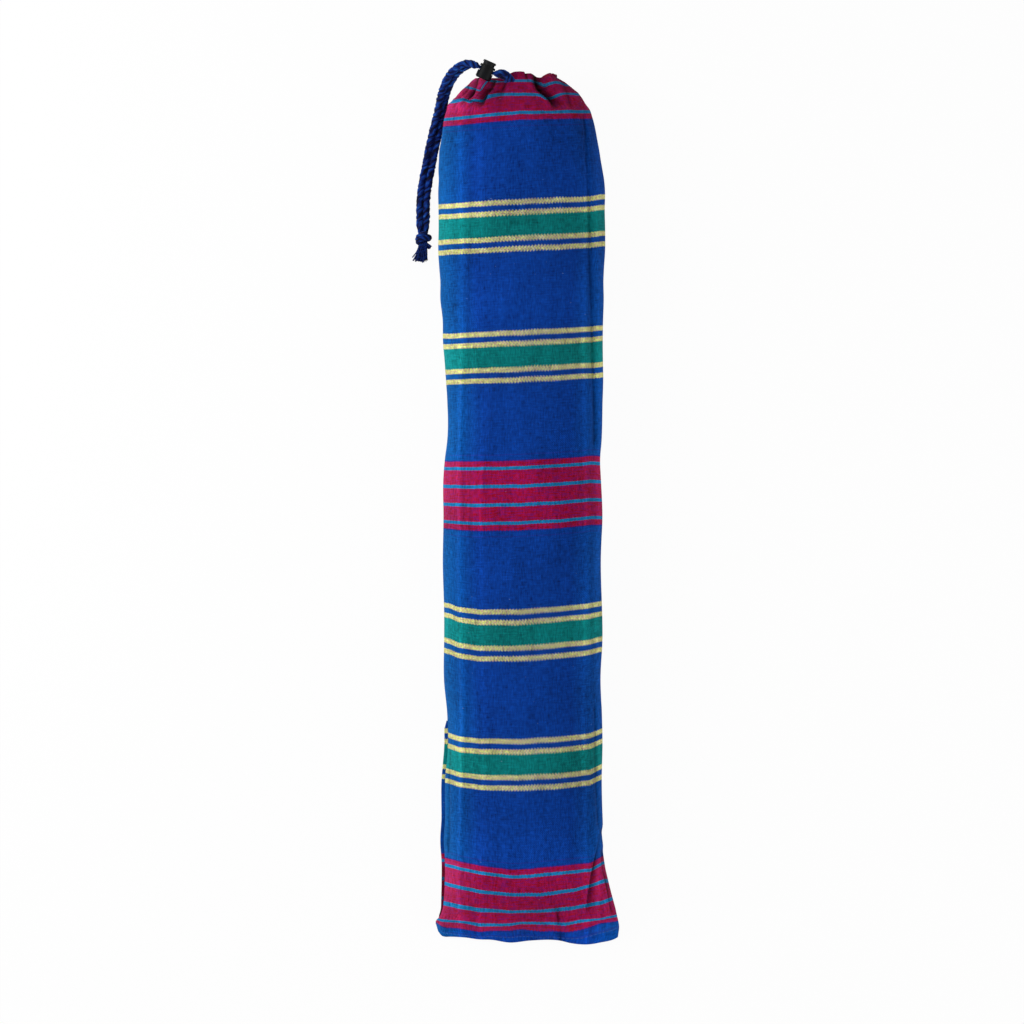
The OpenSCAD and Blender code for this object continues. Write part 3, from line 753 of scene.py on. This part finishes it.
def stubs(mat):
    """The drawcord: its loop in the casing and its two ends up to the lock."""
    low = MOUTH_Z - 12.4
    right = [
        (-42.4, 544.2, 73.2), (-38.7, 544.4, 73.6), (-33, 545.4, 71.5), (-27.5, 543.2, 67),
        (-22.5, 538.5, 61), (-18, 536, 55),
    ]
    top = [(-13, 537, 52), (-4, 537.2, 50), (6, 533.5, 47), (14, 532.5, 47)]
    turn_right = [(22, 532.8, 46), (25.5, 532.8, MOUTH_Z - 2), (22, 532.8, MOUTH_Z - 9)]
    under = [(14, 533, low), (0, 534, low), (-18, 533, low), (-34, 531, low), (-48, 529.5, low)]
    turn_left = [(-57, 527.6, MOUTH_Z - 9), (-60, 527.4, MOUTH_Z - 1), (-56, 526.6, MOUTH_Z + 6)]
    left = [
        (-49, 525.5, 48), (-39, 525.2, 47.5), (-31, 526.5, 48.5), (-26.5, 530, 51.5),
        (-25.5, 536, 57.5), (-29.5, 540.6, 63.5), (-35.5, 543, 67.2), (-42.4, 544.2, 67.9),
    ]
    route = right + top + turn_right + under + turn_left + left

    def radius(share, at):
        """Thin at both ends, which are in the lock."""
        from_end = min(at, (1 - share) * 300)
        return min(CORD_D / 2 + 0.4, 2.4 + 0.6 * from_end)

    return rope("drawcord_loop", [rope_rings(route, radius, ROPE_LAY, 0.8, 1.0, 20)], mat)


# ---- the bag's cloth
# Outline of the bag from above: y, then x of its left and right edges
OUTLINE = [
    (545, -67, 35), (541, -72, 42), (538, -74.5, 45.5), (534, -79, 49.5), (530, -83.5, 54),
    (526, -86.5, 58), (522, -89, 62), (518, -91.5, 65), (515, -93.5, 67), (511, -95.5, 69),
    (507, -99, 71), (504, -100.5, 73), (500, -101, 76), (489, -104, 80), (474, -106, 84),
    (459, -108, 87), (449, -110, 89), (436, -111, 91), (424, -112, 93), (411, -112, 95),
    (399, -113, 96), (374, -113, 96), (349, -112.5, 97), (324, -112.5, 97), (300, -111, 95),
    (286, -110, 94), (261, -110, 94), (236, -107, 93), (211, -106, 92.5), (186, -103.5, 92.5),
    (161, -102, 92.5), (136, -101, 91.5), (86, -101, 91.5), (61, -104, 90), (36, -106, 91),
    (-14, -106, 92.5), (-64, -106, 91), (-114, -105, 91.5), (-164, -105, 92.5), (-214, -105, 91),
    (-257, -102, 92.5), (-301, -102, 93.5), (-339, -103.5, 92.5), (-389, -103.5, 92.5),
    (-414, -105, 93.5), (-439, -103.5, 96.5), (-464, -103.5, 101), (-489, -105, 107),
    (-501, -107, 110), (-509, -110.5, 111.5), (-516, -114, 112.8), (-526, -115.5, 114),
    (-538, -114, 113), (-545, -111, 112),
]
# How far each band lies below its place at the bag's middle: pattern row, then (x, offset)
BAND_SHIFT = [
    (-561, [(-97.5, 9), (-60, 9), (-35, 2.5), (-10, 0), (15, -1), (40, 2.5), (90, 0)]),
    (-541, [(-77.5, 11), (-69, 14), (-60, 20), (-55, 7.5), (-50, -1), (-39, 1), (-24, 0), (4, 0),
        (7.5, 2.5), (21, 10), (26, 6), (34, 2.5), (40, 4), (47.5, 9), (90, 10)]),
    (-519, [(-100, 10), (-92.5, 9), (-81, 6), (-72.5, 10), (-67.5, 7.5), (-56, 9.5), (-52.5, 4.5),
        (-45, 2), (-35, 0), (10, 0), (16, 1), (22.5, 6), (30, 5), (40, 0), (47.5, -2), (61, -0.5),
        (90, 0)]),
    (-496, [(-102.5, 9), (-60, 4), (-35, 2), (-10, 0), (40, -1), (77.5, -1), (95, -4)]),
    (-424, [(-112.5, 7.5), (-97.5, 6), (-60, 3), (-10, 0), (40, -2), (77.5, -3), (95, -6)]),
    (-355, [(-112.5, 6), (-97.5, 5), (-60, 3), (-10, 0), (40, -2), (77.5, -4), (92.5, -6)]),
    (-191, [(-107.5, 4), (-97.5, 4), (-60, 2), (-10, 0), (40, -2.5), (77.5, -4.5), (92.5, -6)]),
    (-17, [(-106, 0), (-97.5, 0.5), (-60, 1), (-10, 0), (40, -2.5), (77.5, -6), (91, -5.5)]),
    (158, [(-105, -11), (-97.5, -9), (-87.5, -4), (-60, 0), (-10, 0), (40, -4), (77.5, -8),
        (92.5, -12)]),
    (320, [(-106, -10), (-97.5, -7), (-85, -3), (-60, -0.5), (-10, 0), (40, -2.5), (77.5, -7),
        (92.5, -14)]),
    (460, [(-107.5, -16), (-102.5, -14.5), (-60, -4.5), (-22.5, 0.5), (2.5, -0.5), (40, -4.5),
        (77.5, -8), (96, -18)]),
    (482.5, [(-110, -15), (-104, -14), (-60, -4), (-22.5, 0), (15, 0), (59, -6), (96, -17.5)]),
    (505.5, [(-112.5, -14), (-105, -12.5), (-66, -4), (-22.5, 0), (15, -1), (59, -6), (90, -12.5),
        (107.5, -19)]),
    (528.5, [(-112.5, -6), (-107.5, -5), (-85, 0), (-60, 5), (-35, 4), (-10, 0), (15, 1),
        (46, 2.5), (65, -6), (90, -8), (110, -16)]),
    (537.5, [(-115, 0), (-104, 2.5), (-60, 6), (-35, 2.5), (-10, 0), (15, 5), (46, 4), (65, -1),
        (90, -9), (114, -14)]),
    (557.5, [(-115, 0), (-85, 4), (-47.5, 1), (-10, 0), (21, 2.5), (65, 1), (115, -5)]),
]
# Pattern row against y: the pattern is closer set where the cloth slopes away
PATTERN_ROWS = [
    (547.9, -559), (534.5, -541), (518.6, -519), (496, -496.5), (475, -475), (100, -100),
    (-460, 460), (-482.5, 482.5), (-503.75, 505.5), (-511, 517), (-517.5, 528.5), (-525, 537),
    (-541, 553), (-545, 557.5),
]
# The sewn edge's wave: x, then how far the edge lies above the lowest point
HEM_WAVE = [
    (-116, 20), (-112, 14), (-108, 9), (-104, 7.5), (-98, 7.5), (-79, 6.5), (-60, 4), (-47, 3.7),
    (-22, 0), (2, 2.5), (40, 2.5), (55, -1), (77, -2.2), (90, 0), (109, 5), (115, 8.5),
]
# The mouth's upper edge, bunched up by the drawcord: x, then y
MOUTH_EDGE = [
    (-110, 535.5), (-67, 535.5), (-62, 539.5), (-56, 540.5), (-50, 538.5), (-45, 537.5),
    (-37.5, 536), (-32.5, 534.5), (-27.5, 536.5), (-24, 544), (-17.5, 547), (-10, 547.5),
    (-4.5, 547), (-4, 544.5), (0, 545), (4, 545), (7, 543), (11, 540), (16, 539.5), (20, 542.5),
    (24, 544.5), (27.5, 545.5), (31, 544), (35, 540.5), (115, 540.5),
]
# Folds: depth, how far each reaches to its left and right, how much painted shade darkens it,
# y where it starts and ends, and (x, y) along its sharp edge
FOLDS = [
    (17, 0.5, 13, 1.25, 560, 498, [(7, 549), (8, 532.5), (12.5, 526), (19, 519.5), (24, 514),
        (29, 508), (35, 496)]),
    (11, 9, 0.5, 1.2, 560, 499, [(-41, 541), (-44, 531), (-51, 521), (-55, 511), (-60, 496),
        (-62.5, 486)]),
    (8, 6, 1, 1.2, 560, 505, [(-64, 536), (-67.5, 526), (-71, 519), (-79, 511), (-85, 501)]),
    (4, 5, 3, 1, 524, 499, [(-88, 517), (-77, 513.5), (-67, 510.5), (-58, 508)]),
    (5, 4, 1.2, 0.8, 560, 507, [(-75, 531), (-81, 524), (-87.5, 516), (-94, 507.5)]),
    (5, 0.8, 4, 0.9, 560, 528, [(-4, 549), (-2.5, 541), (2.5, 529)]),
    (6, 3, 3, 1, 560, 520, [(-26, 545), (-31, 532), (-33, 518), (-36, 505)]),
    (3, 2.5, 4, 0.4, 560, 496, [(40, 544), (47.5, 526), (52.5, 511), (55, 496)]),
    (1.5, 1.5, 3, 0.3, 525, 480, [(62, 525), (68, 508), (72, 490)]),
    (2.6, 3.4, 1.2, 0.46, 500, 70, [(67.5, 506), (72.5, 474), (76, 399), (78, 336), (79, 274),
        (80, 224), (82.5, 161), (84, 86)]),
    (5, 1.2, 6, 0.85, -395, -512, [(92.5, -391), (90, -407.5), (86, -426), (80, -457.5),
        (75, -489), (72.5, -507.5)]),
    (3.4, 1.5, 5, 0.7, -420, -515, [(94, -426), (96, -451), (100, -476), (105, -507.5)]),
    (1.8, 2, 1.2, 0.4, -240, -405, [(84, -239), (85, -314), (86, -364), (87.5, -401)]),
    (3.2, 1.6, 3.4, 0.75, -492, -560, [(35, -495), (37.5, -511), (40, -532.5)]),
    (1.5, 1.2, 1.2, 0.4, -285, -440, [(-98.5, -290), (-99.5, -351), (-100, -440)]),
    (1.6, 3, 2, 0.2, -485, -560, [(-70, -480), (-66, -510), (-64, -535)]),
    (1.4, 3, 3, 0.2, -500, -560, [(-6, -500), (-2, -520), (-3, -535)]),
]
# Soft folds along the bag: x, y where each starts and ends, height, width
RIDGES = [
    (88, 420, -40, 1.6, 5), (-83, 220, -560, 2.2, 3.2), (-77, 60, -40, -1.4, 3),
    (-57, 90, -60, 1.8, 2.6), (-45, 240, 40, 0.7, 4.5), (-60, 20, -190, -0.7, 5),
    (30, 330, 120, 0.6, 9), (84, -330, -560, 1.2, 6), (90, -415, -560, -3.4, 5),
    (99, -440, -560, 1.6, 5), (-99, -260, -560, -1.3, 3), (38, -490, -560, 2, 4),
    (45, -490, -560, -2, 3.5), (-55, -480, -560, 1.6, 9), (10, -500, -560, -1.4, 8),
    (-15, -505, -560, 1.2, 8),
]
# Painted highlights along soft folds that stand up, and painted shade beside some:
# x, width, how much lighter
RIDGE_LIGHT = [
    (-84, 4, 0.3), (-73, 2, -0.14), (-66, 8, 0.12), (-58, 2.5, 0.14), (71, 3, 0.26),
    (81, 2, -0.12), (88, 3, 0.2),
]
FLAT_Y = 500  # past this distance from the bag's middle its end is gathered, or sewn flat
# How high the cloth lies towards the sewn end: distance from the bag's middle, then height
END_TOPS = [(522, 33), (527, 22), (531, 13), (545, 8)]
# The hem turned in at the mouth: how far each ring lies inside the rim, and along the bag
TURN_IN = [(1.6, 0.1), (4.0, -0.6), (7.0, -2.4), (9.0, -5.5), (10.4, -10), (10.6, -15)]


def rows():
    """Places along the bag, closer set towards its two ends."""
    near = np.arange(MOUTH_TOP_Y - 0.4, 500, -1.25)
    shoulder = np.arange(near[-1] - 1.6, 455, -1.8)
    middle = np.arange(shoulder[-1] - 3.2, -415, -3.5)
    taper = np.arange(middle[-1] - 2.4, SEAM_Y + 1.5, -2.0)
    return np.concatenate([near, shoulder, middle, taper])


def section(y):
    """(x, z) round the bag at y, as the CAD bag's section but with the real outline."""
    fill = np.clip((y - SEAM_Y) / TAPER, 0, 1)
    opening = np.clip((RIM_Y - y) / SHOULDER, 0, 1)
    low = (MOUTH_Z - MOUTH_R) * (1 - opening) ** 4
    full = DEPTH + (MOUTH_Z + MOUTH_R - DEPTH) * (1 - opening) ** 3
    top = full + (10.0 - full) * (1 - fill) ** 2
    top = table(-y, [(FLAT_Y, top), (515, min(top, 42))] + END_TOPS)
    waist = low + (top - low) * (0.5 + (WAIST_SHARE - 0.5) * opening)
    left = AXIS_X - soft_table(-y, [(-a, b) for a, b, _ in OUTLINE])
    right = soft_table(-y, [(-a, c) for a, _, c in OUTLINE]) - AXIS_X
    a = np.linspace(0, 2 * np.pi, COLUMNS, endpoint=False)
    c, s = np.cos(a), np.sin(a)
    upper = 2 + (TOP_POWER - 2) * fill
    under = 2 + (LOW_POWER - 2) * fill
    power = np.where(s < 0, under, upper)
    power = power + (upper - power) * smooth((-y - FLAT_Y) / 40)
    x = AXIS_X + np.where(c < 0, left, right) * np.sign(c) * np.abs(c) ** (2 / power)
    reach = np.abs(s) ** (2 / power)
    below = np.maximum(low, waist - (waist - low) * FLOOR_PRESS * reach)
    return x, np.where(s < 0, below, waist + (top - waist) * reach), s


def folds(x, y, s):
    """How far the folds move the cloth in, and how much painted shade darkens it in and beside
    their creases.
    """
    move = np.zeros_like(x)
    dark = np.zeros_like(x)
    for depth, left, right, crease_shade, y_from, y_to, path in FOLDS:
        far = smooth((y_from - y) / 10)
        if y_to > SEAM_Y:
            far *= smooth((y - y_to) / 14)
        if far <= 0:
            continue
        d = x - table(-y, [(-b, a) for a, b in path])
        depth *= 1 - 0.55 * smooth((y - 522) / 12)
        on_right = np.exp(-((np.maximum(d, 0) / right) ** 1.5))
        on_left = np.exp(-((np.maximum(-d, 0) / left) ** 1.5))
        cut = np.where(d > 0, on_right, on_left)
        lip = bell(d + np.sign(right - left) * 4, 3.5)
        move += far * (0.16 * depth * lip - depth * cut)
        uneven = 0.8 + 0.3 * sin(y * 0.037 + depth) * sin(y * 0.11)
        core = bell(d, 0.28 * (left + right))
        # Painted shade: darker in the crease and on its cut-in side
        dark = np.maximum(dark, far * crease_shade * uneven * (0.75 * cut**1.1 + 0.5 * core))
    for k in range(9):  # finer gathers all round the mouth
        t = np.clip((y - 440) / 85, 0, 1) ** 2
        place = -80 + 18.7 * k + 4 * sin(k * 2.3)
        gather = np.cos((x - place - 0.18 * (y - RIM_Y)) * 0.42 + k)
        move += 0.7 * t * gather * (0.2 + 0.1 * (k % 3))
    below = 0.45 * np.clip(move, -6, 6)
    return np.where(s >= 0, move, below), np.where(s >= -0.1, dark, 0)


def drift(x, y):
    """How far a line along the bag wanders sideways."""
    return 1.8 * sin(y * 0.013 + x)


def wrinkles(x, y, s):
    out = np.zeros_like(x)
    for rx, y_from, y_to, high, width in RIDGES:
        along = smooth((y_from - y) / 40) * smooth((y - y_to) / 40 if y_to > -500 else 1.0)
        out += np.where(s > -0.1, high * along * bell(x - rx - drift(rx, y), width), 0)
    out += 0.55 * np.sin(0.021 * y + 0.031 * x + 1.0) + 0.4 * np.sin(0.047 * y - 0.05 * x)
    out += 0.28 * np.sin(0.11 * x + 0.013 * y) + 0.16 * np.sin(0.19 * x - 0.035 * y + 2)
    return out


def pattern(x, y):
    """The woven pattern's row at each place, seen from above."""
    base = table(-(np.zeros_like(x) + y), [(-a, b) for a, b in PATTERN_ROWS])
    at_rows = [r for r, _ in BAND_SHIFT]
    shifts = np.stack([table(x, pairs) for _, pairs in BAND_SHIFT])
    shift = np.zeros_like(x)
    for k in range(len(x)):
        guess = base[k]
        for _ in range(2):
            shift[k] = np.interp(guess, at_rows, shifts[:, k])
            guess = base[k] - shift[k]
    return base - shift


def turn(values):
    """How fast values change from point to point of a closed ring."""
    return np.gradient(np.concatenate([values[-1:], values, values[:1]]))[1:-1]


def cloth_points(y):
    """The cloth's points round the bag at y, how much painted shade the folds give it, and the
    hem's wave.
    """
    x, z, s = section(y)
    n = np.stack([turn(z), -turn(x)], 1)
    n /= np.maximum(np.linalg.norm(n, axis=1), 1e-9)[:, None]
    move, dark = folds(x, y, s)
    rise = move + wrinkles(x, y, s) * smooth((y - SEAM_Y) / 60)
    if y > RIM_Y - 4:  # the casing bulges over the cord and turns in at the top
        t = (y - (RIM_Y - 4)) / (MOUTH_TOP_Y - RIM_Y + 4)
        rise += 1.0 * sin(pi * min(1, t)) - 3.6 * max(0, (t - 0.55) / 0.45) ** 2
    floor_side = smooth(-s * 4)
    rise = rise * (1 - 0.85 * floor_side)
    px, pz = x + n[:, 0] * rise * 0.9, z + n[:, 1] * rise
    pz = np.maximum(pz, CLOTH_T + 0.05)
    wave = soft_table(px, HEM_WAVE) * smooth((-y - 505) / 40)
    py = np.full(COLUMNS, y) + wave
    bunch = smooth((y - FLAT_Y) / 45) * (table(px, MOUTH_EDGE) - MOUTH_TOP_Y)
    py = py + (bunch + (np.clip(bunch, -6, 0) - bunch) * floor_side)
    return np.stack([px, py, pz], 1), s, dark, wave


def painted_light(px, y, s, dark):
    """The cloth's painted light and shade round the bag at y: its brightness, and how much light
    tint it gets.
    """
    # Painted shade in the folds' creases
    shade = 1 - 0.92 * np.clip(dark, 0, 1)
    # Painted highlights along soft folds, and painted shade beside some
    for rx, width, lift in RIDGE_LIGHT:
        shade *= 1 + lift * bell(px - rx - drift(rx, y), width)
    # Painted light: lighter towards the sewn end, where the cloth slopes away, and at the hem; the
    # left shoulder painted lighter and the top of the middle painted darker
    lift = 0.26 * smooth((-y - 380) / 80) + 0.16 * smooth((-y - 495) / 20)
    lift += (0.6 * np.clip((-38 - px) / 30, 0, 1) - 0.12) * smooth((y - 485) / 20)
    lift += 0.22 * smooth((-y - 520) / 10)
    left = np.clip(1 - (px - px.min()) / 46, 0, 1) ** 1.3
    right = np.clip(1 - (px.max() - px) / 40, 0, 1)
    # Painted light on the right side as well
    shade = shade * (1 + lift + 0.22 * right * smooth((440 - y) / 60))
    right = right * (0.2 + 0.24 * smooth((420 - y) / 200))
    # Painted light tint on both edges, and a little on the underside
    return shade, np.where(s > -0.5, np.maximum(left, right), 0.2)


def cloth_girth():
    """How far round from the seam each column is, at the bag's middle."""
    girth = np.zeros(COLUMNS)
    x, z, _ = section(100.0)
    order = (COLUMNS // 2 - np.arange(COLUMNS)) % COLUMNS
    girth[order] = run_along(np.stack([x, z], 1)[order])
    return girth


def turned_in(rim, shrink, dy):
    """The rim's ring, closer round the mouth's middle line and moved along the bag."""
    ring = rim.copy()
    centre = np.array([AXIS_X, MOUTH_Z])
    flat = ring[:, [0, 2]] - centre
    line = np.stack([np.clip(flat[:, 0], -38, 38), np.zeros(COLUMNS)], 1)
    away = flat - line
    size = np.maximum(np.linalg.norm(away, axis=1), 1e-6)
    keep = np.maximum(size - shrink, 5.2) / size
    ring[:, [0, 2]] = centre + (line + away * keep[:, None])
    ring[:, 1] += dy
    return ring


def cloth_faces(m, uv, wrap_u):
    """The cloth's faces, and a UV for each of their corners."""
    faces, corner_uv = [], []
    for i in range(m - 1):
        for j in range(COLUMNS):
            a, b = i * COLUMNS + j, i * COLUMNS + (j + 1) % COLUMNS
            faces.append((a, a + COLUMNS, b + COLUMNS, b))
            quad = [uv[q] for q in faces[-1]]
            if j == COLUMNS // 2:  # where the cloth meets the seam again
                quad = [q.copy() for q in quad]
                quad[0][0] = quad[1][0] = 0.0 if quad[0][0] > wrap_u / 2 else quad[0][0]
            corner_uv += quad
    # The sewn edge: the last ring's upper and lower halves meet in one line
    base = (m - 1) * COLUMNS
    for j in range(COLUMNS // 2):
        back = [base + (COLUMNS - j - 1) % COLUMNS, base + (COLUMNS - j) % COLUMNS]
        corners = tuple(dict.fromkeys([base + j, back[1], back[0], base + j + 1]))
        faces.append(corners)
        corner_uv += [uv[q] for q in corners]
    return faces, corner_uv


def bag_cloth(mat):
    """The bag's cloth, the rings of points it is made from, and their places along the bag."""
    ys = rows()
    girth = cloth_girth()
    rings = []
    for y in ys:
        points, s, dark, wave = cloth_points(y)
        uv = np.stack([girth, pattern(points[:, 0], points[:, 1] - wave)], 1)
        rings.append((points, uv, *painted_light(points[:, 0], y, s, dark)))
    rim, uv, shade, light_tint = rings[0]
    for k, (shrink, dy) in enumerate(TURN_IN):
        hem = turned_in(rim, shrink, dy)
        # The turned-in hem is painted darker, as shade inside the mouth
        rings.insert(0, (hem, uv - [0, (k + 1) * 3.0], shade * 0.75, light_tint))
    verts, uvs, shades, light_tints = (np.concatenate(part) for part in zip(*rings))
    verts = verts * MM
    faces, corner_uv = cloth_faces(len(rings), uvs, girth.max() + 2.4)
    obj = add_mesh("bag_cloth", verts, faces, mat)
    layer = obj.data.uv_layers.new(name="cloth")
    layer.data.foreach_set("uv", np.array(corner_uv, np.float32).ravel())
    set_value(obj, "shade", shades)
    set_value(obj, "light_tint", light_tints)
    obj.data.flip_normals()  # outwards
    thicken(obj, CLOTH_T, -1)
    return obj, verts.reshape(len(rings), COLUMNS, 3)[len(TURN_IN) :], ys


def seam_flap(body, ys, mat):
    """The seam's allowance, a narrow strip that stands out along the bag's left side."""
    wide_at = [(262, 0.1), (275, 0.9), (420, 0.85), (480, 0.75), (505, 0.35), (512, 0.05)]
    across = (-1.5, 0.8, 3.2, 5.4)
    verts, uvs, shade = [], [], []
    for root, y in zip(body[:, COLUMNS // 2] / MM, ys):
        if not -512 < y < -262:
            continue
        wide = table(-y, wide_at)
        ripple = 0.5 * sin(y * 0.09) + 0.35 * sin(y * 0.21 + 1)
        row = pattern(np.array([root[0] + 7.0]), y)[0] + 7.5
        # Painted shade: darker towards the sewn end, so the flap shows as a dark line along the
        # bag's edge
        worn = 1 - 0.62 * smooth((-y - 436) / 16)
        for k, reach in enumerate(across):
            out = reach * wide
            high = root[2] + 1.0 - 0.22 * out + ripple * reach / 6
            verts.append((root[0] - out * 0.9, root[1], high))
            uvs.append((k * 2.7, row))
            # The flap's root, where it folds from the bag, painted darker as shade
            shade.append((0.78 if k == 0 else 1.0) * worn)
    verts = np.array(verts) * MM
    return sheet("side_seam_flap", verts, len(across), uvs, shade, 0.25, CLOTH_T, mat)


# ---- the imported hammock
def folded_hammock(mat):
    """The hammock cloth, folded in layers over the tubes, and its width and length."""
    low, high = (np.array(v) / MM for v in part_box("hammock_bed"))
    half = (high[0] - low[0]) / 2 - 1.5
    layers = 5
    bag_waist_z, bag_half = 40.13, 96.4
    xs = np.linspace(-half, half, 46)
    drop = 11 * smooth((np.abs(xs) - 52) / 26)
    floor_z = low[2] + 11 + 0.9 - drop + 0.3
    arch = (1 - (np.abs(xs) / bag_half) ** TOP_POWER) ** (1 / TOP_POWER)
    crown = bag_waist_z + (DEPTH - WALL - bag_waist_z) * arch
    line = []
    for k in range(layers):
        inset = 2.0 + 1.2 * (k % 2)
        z = floor_z + (crown - 1.4 - floor_z) * ((k + 0.5) / layers)
        layer = [(x * (half - inset) / half, zz) for x, zz in zip(xs, z)]
        line += layer if k % 2 == 0 else layer[::-1]
    run = run_along(np.array(line))
    ys = np.linspace(low[1] + 1.0, high[1] - 1.0, 60)
    verts, uvs = [], []
    for y in ys:
        ease = 0.14 * sin(y * 0.05)
        for (x, z), r in zip(line, run):
            verts.append(((x + AXIS_X) * MM, y * MM, (z + ease) * MM))
            uvs.append((y, r % 1040 - 520))
    shade = np.ones(len(verts))
    # The hammock gets a little painted light tint all over
    obj = sheet("folded_hammock", verts, len(line), uvs, shade, 0.3, 1.0, mat)
    return obj, run[-1] * MM, (ys[-1] - ys[0]) * MM


def end_cords(mat):
    """The suspension cords, gathered from the hammock's ends to its two rings."""
    low, high = (np.array(v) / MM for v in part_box("hammock_end_cords"))
    bed_low, bed_high = (np.array(v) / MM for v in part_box("hammock_bed"))
    objs = []
    ends = ((1, "head", bed_high[1], high[1]), (-1, "foot", bed_low[1], low[1]))
    for sign, name, bed, far in ends:
        strands = []
        for k in range(9):
            t = (k - 4) / 4
            route = [
                (AXIS_X + 48 * t, bed + sign * 1.5, low[2] + 3.4 + 1.2 * (k % 2)),
                (AXIS_X + 36 * t, bed + sign * 24, low[2] + 3.2 + 1.0 * ((k + 1) % 2)),
                (AXIS_X + 17 * t, bed + sign * 50, low[2] + 3.0),
                (AXIS_X + 6.5 * t, far - sign * 1.5, low[2] + 3.0),
            ]
            strands.append(rope_rings(route, lambda share, at: 1.9 - 0.7 * share, 9.0, k, 1.6, 10))
        objs.append(rope("suspension_cords_" + name, strands, mat))
    return objs


# ---- springs
def spring_piece(node, body, mat):
    """A spring with its CAD node's shape, on the body that carries it."""
    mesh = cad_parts[node].data.copy()
    mesh.materials.clear()
    mesh.materials.append(mat)
    obj = new_object(node + "_wire", mesh)
    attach(obj, body)
    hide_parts(node)
    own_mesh(obj)
    return obj


# ---- build
def finish(mat, *nodes):
    """Give CAD nodes their material."""
    for name in nodes:
        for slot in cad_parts[name].material_slots:
            slot.link = "OBJECT"
            slot.material = mat


camera()
lights()
floor()

cloth = striped_cloth("striped_cotton")
cord_mat = rope_cotton()
spring = metal("spring_steel", (190, 190, 192), (96, 98, 102), 0.2, 0.4)
coil = spring_piece("lock_spring", "cord_lock", spring)

tail_a, path_a = tail("drawcord_tail_a", TAIL_A, 0.3, cord_mat)
tail_b, path_b = tail("drawcord_tail_b", TAIL_B, 1.7, cord_mat)
tail_knot = knot(cord_mat)
frayed = tassel(cord_mat)
loop = stubs(cord_mat)
cords = (tail_a, tail_b, tail_knot, frayed, loop)
for piece, node in zip(cords, ("cord_tail_a", "cord_tail_b", "tail_knot", "tassel", "drawcord")):
    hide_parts(node)
for piece in (tail_knot, frayed):
    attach(piece, "packed_bag")
for piece, path in ((tail_a, path_a), (tail_b, path_b)):
    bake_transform(piece)
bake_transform(loop)

bag, body, ys = bag_cloth(cloth)
flap = seam_flap(body, ys, cloth)
for piece in (bag, flap):
    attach(piece, "packed_bag")
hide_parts("bag_body", "mouth_casing")

# The hammock's cloth takes half of the painted light tint
bed, bed_wide, bed_long = folded_hammock(striped_cloth("folded_hammock_cotton", 0.5))
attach(bed, "packed_bag")
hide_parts("hammock_bed")
bundles = end_cords(pale_cord())
for piece in bundles:
    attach(piece, "packed_bag")
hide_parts("hammock_end_cords")

steel = metal("fastener_steel", (176, 178, 182), (104, 106, 110), 0.25, 0.45)
ring_steel = metal("ring_steel", (206, 208, 212), (140, 143, 148), 0.16, 0.34)
frame_parts = ("foot_tube", "lower_arm", "upper_arm")
tubes = [f"{part}_{side}" for part in frame_parts for side in ("left", "right")]
finish(tube_paint(), "centre_tube", *tubes)
finish(cap_plastic(), "foot_caps", "arm_caps")
finish(steel, "hook_left", "hook_right", "hook_nuts", "foot_bolts", "foot_nuts")
finish(steel, *(f"snap_button_{i}" for i in range(1, 5)))
finish(ring_steel, "hammock_ring_head", "hammock_ring_foot")
finish(lock_black(), "lock_body")
finish(button_black(), "lock_plunger")
for i in range(1, 5):
    spring_piece(f"snap_spring_{i}", "packed_bag", spring)
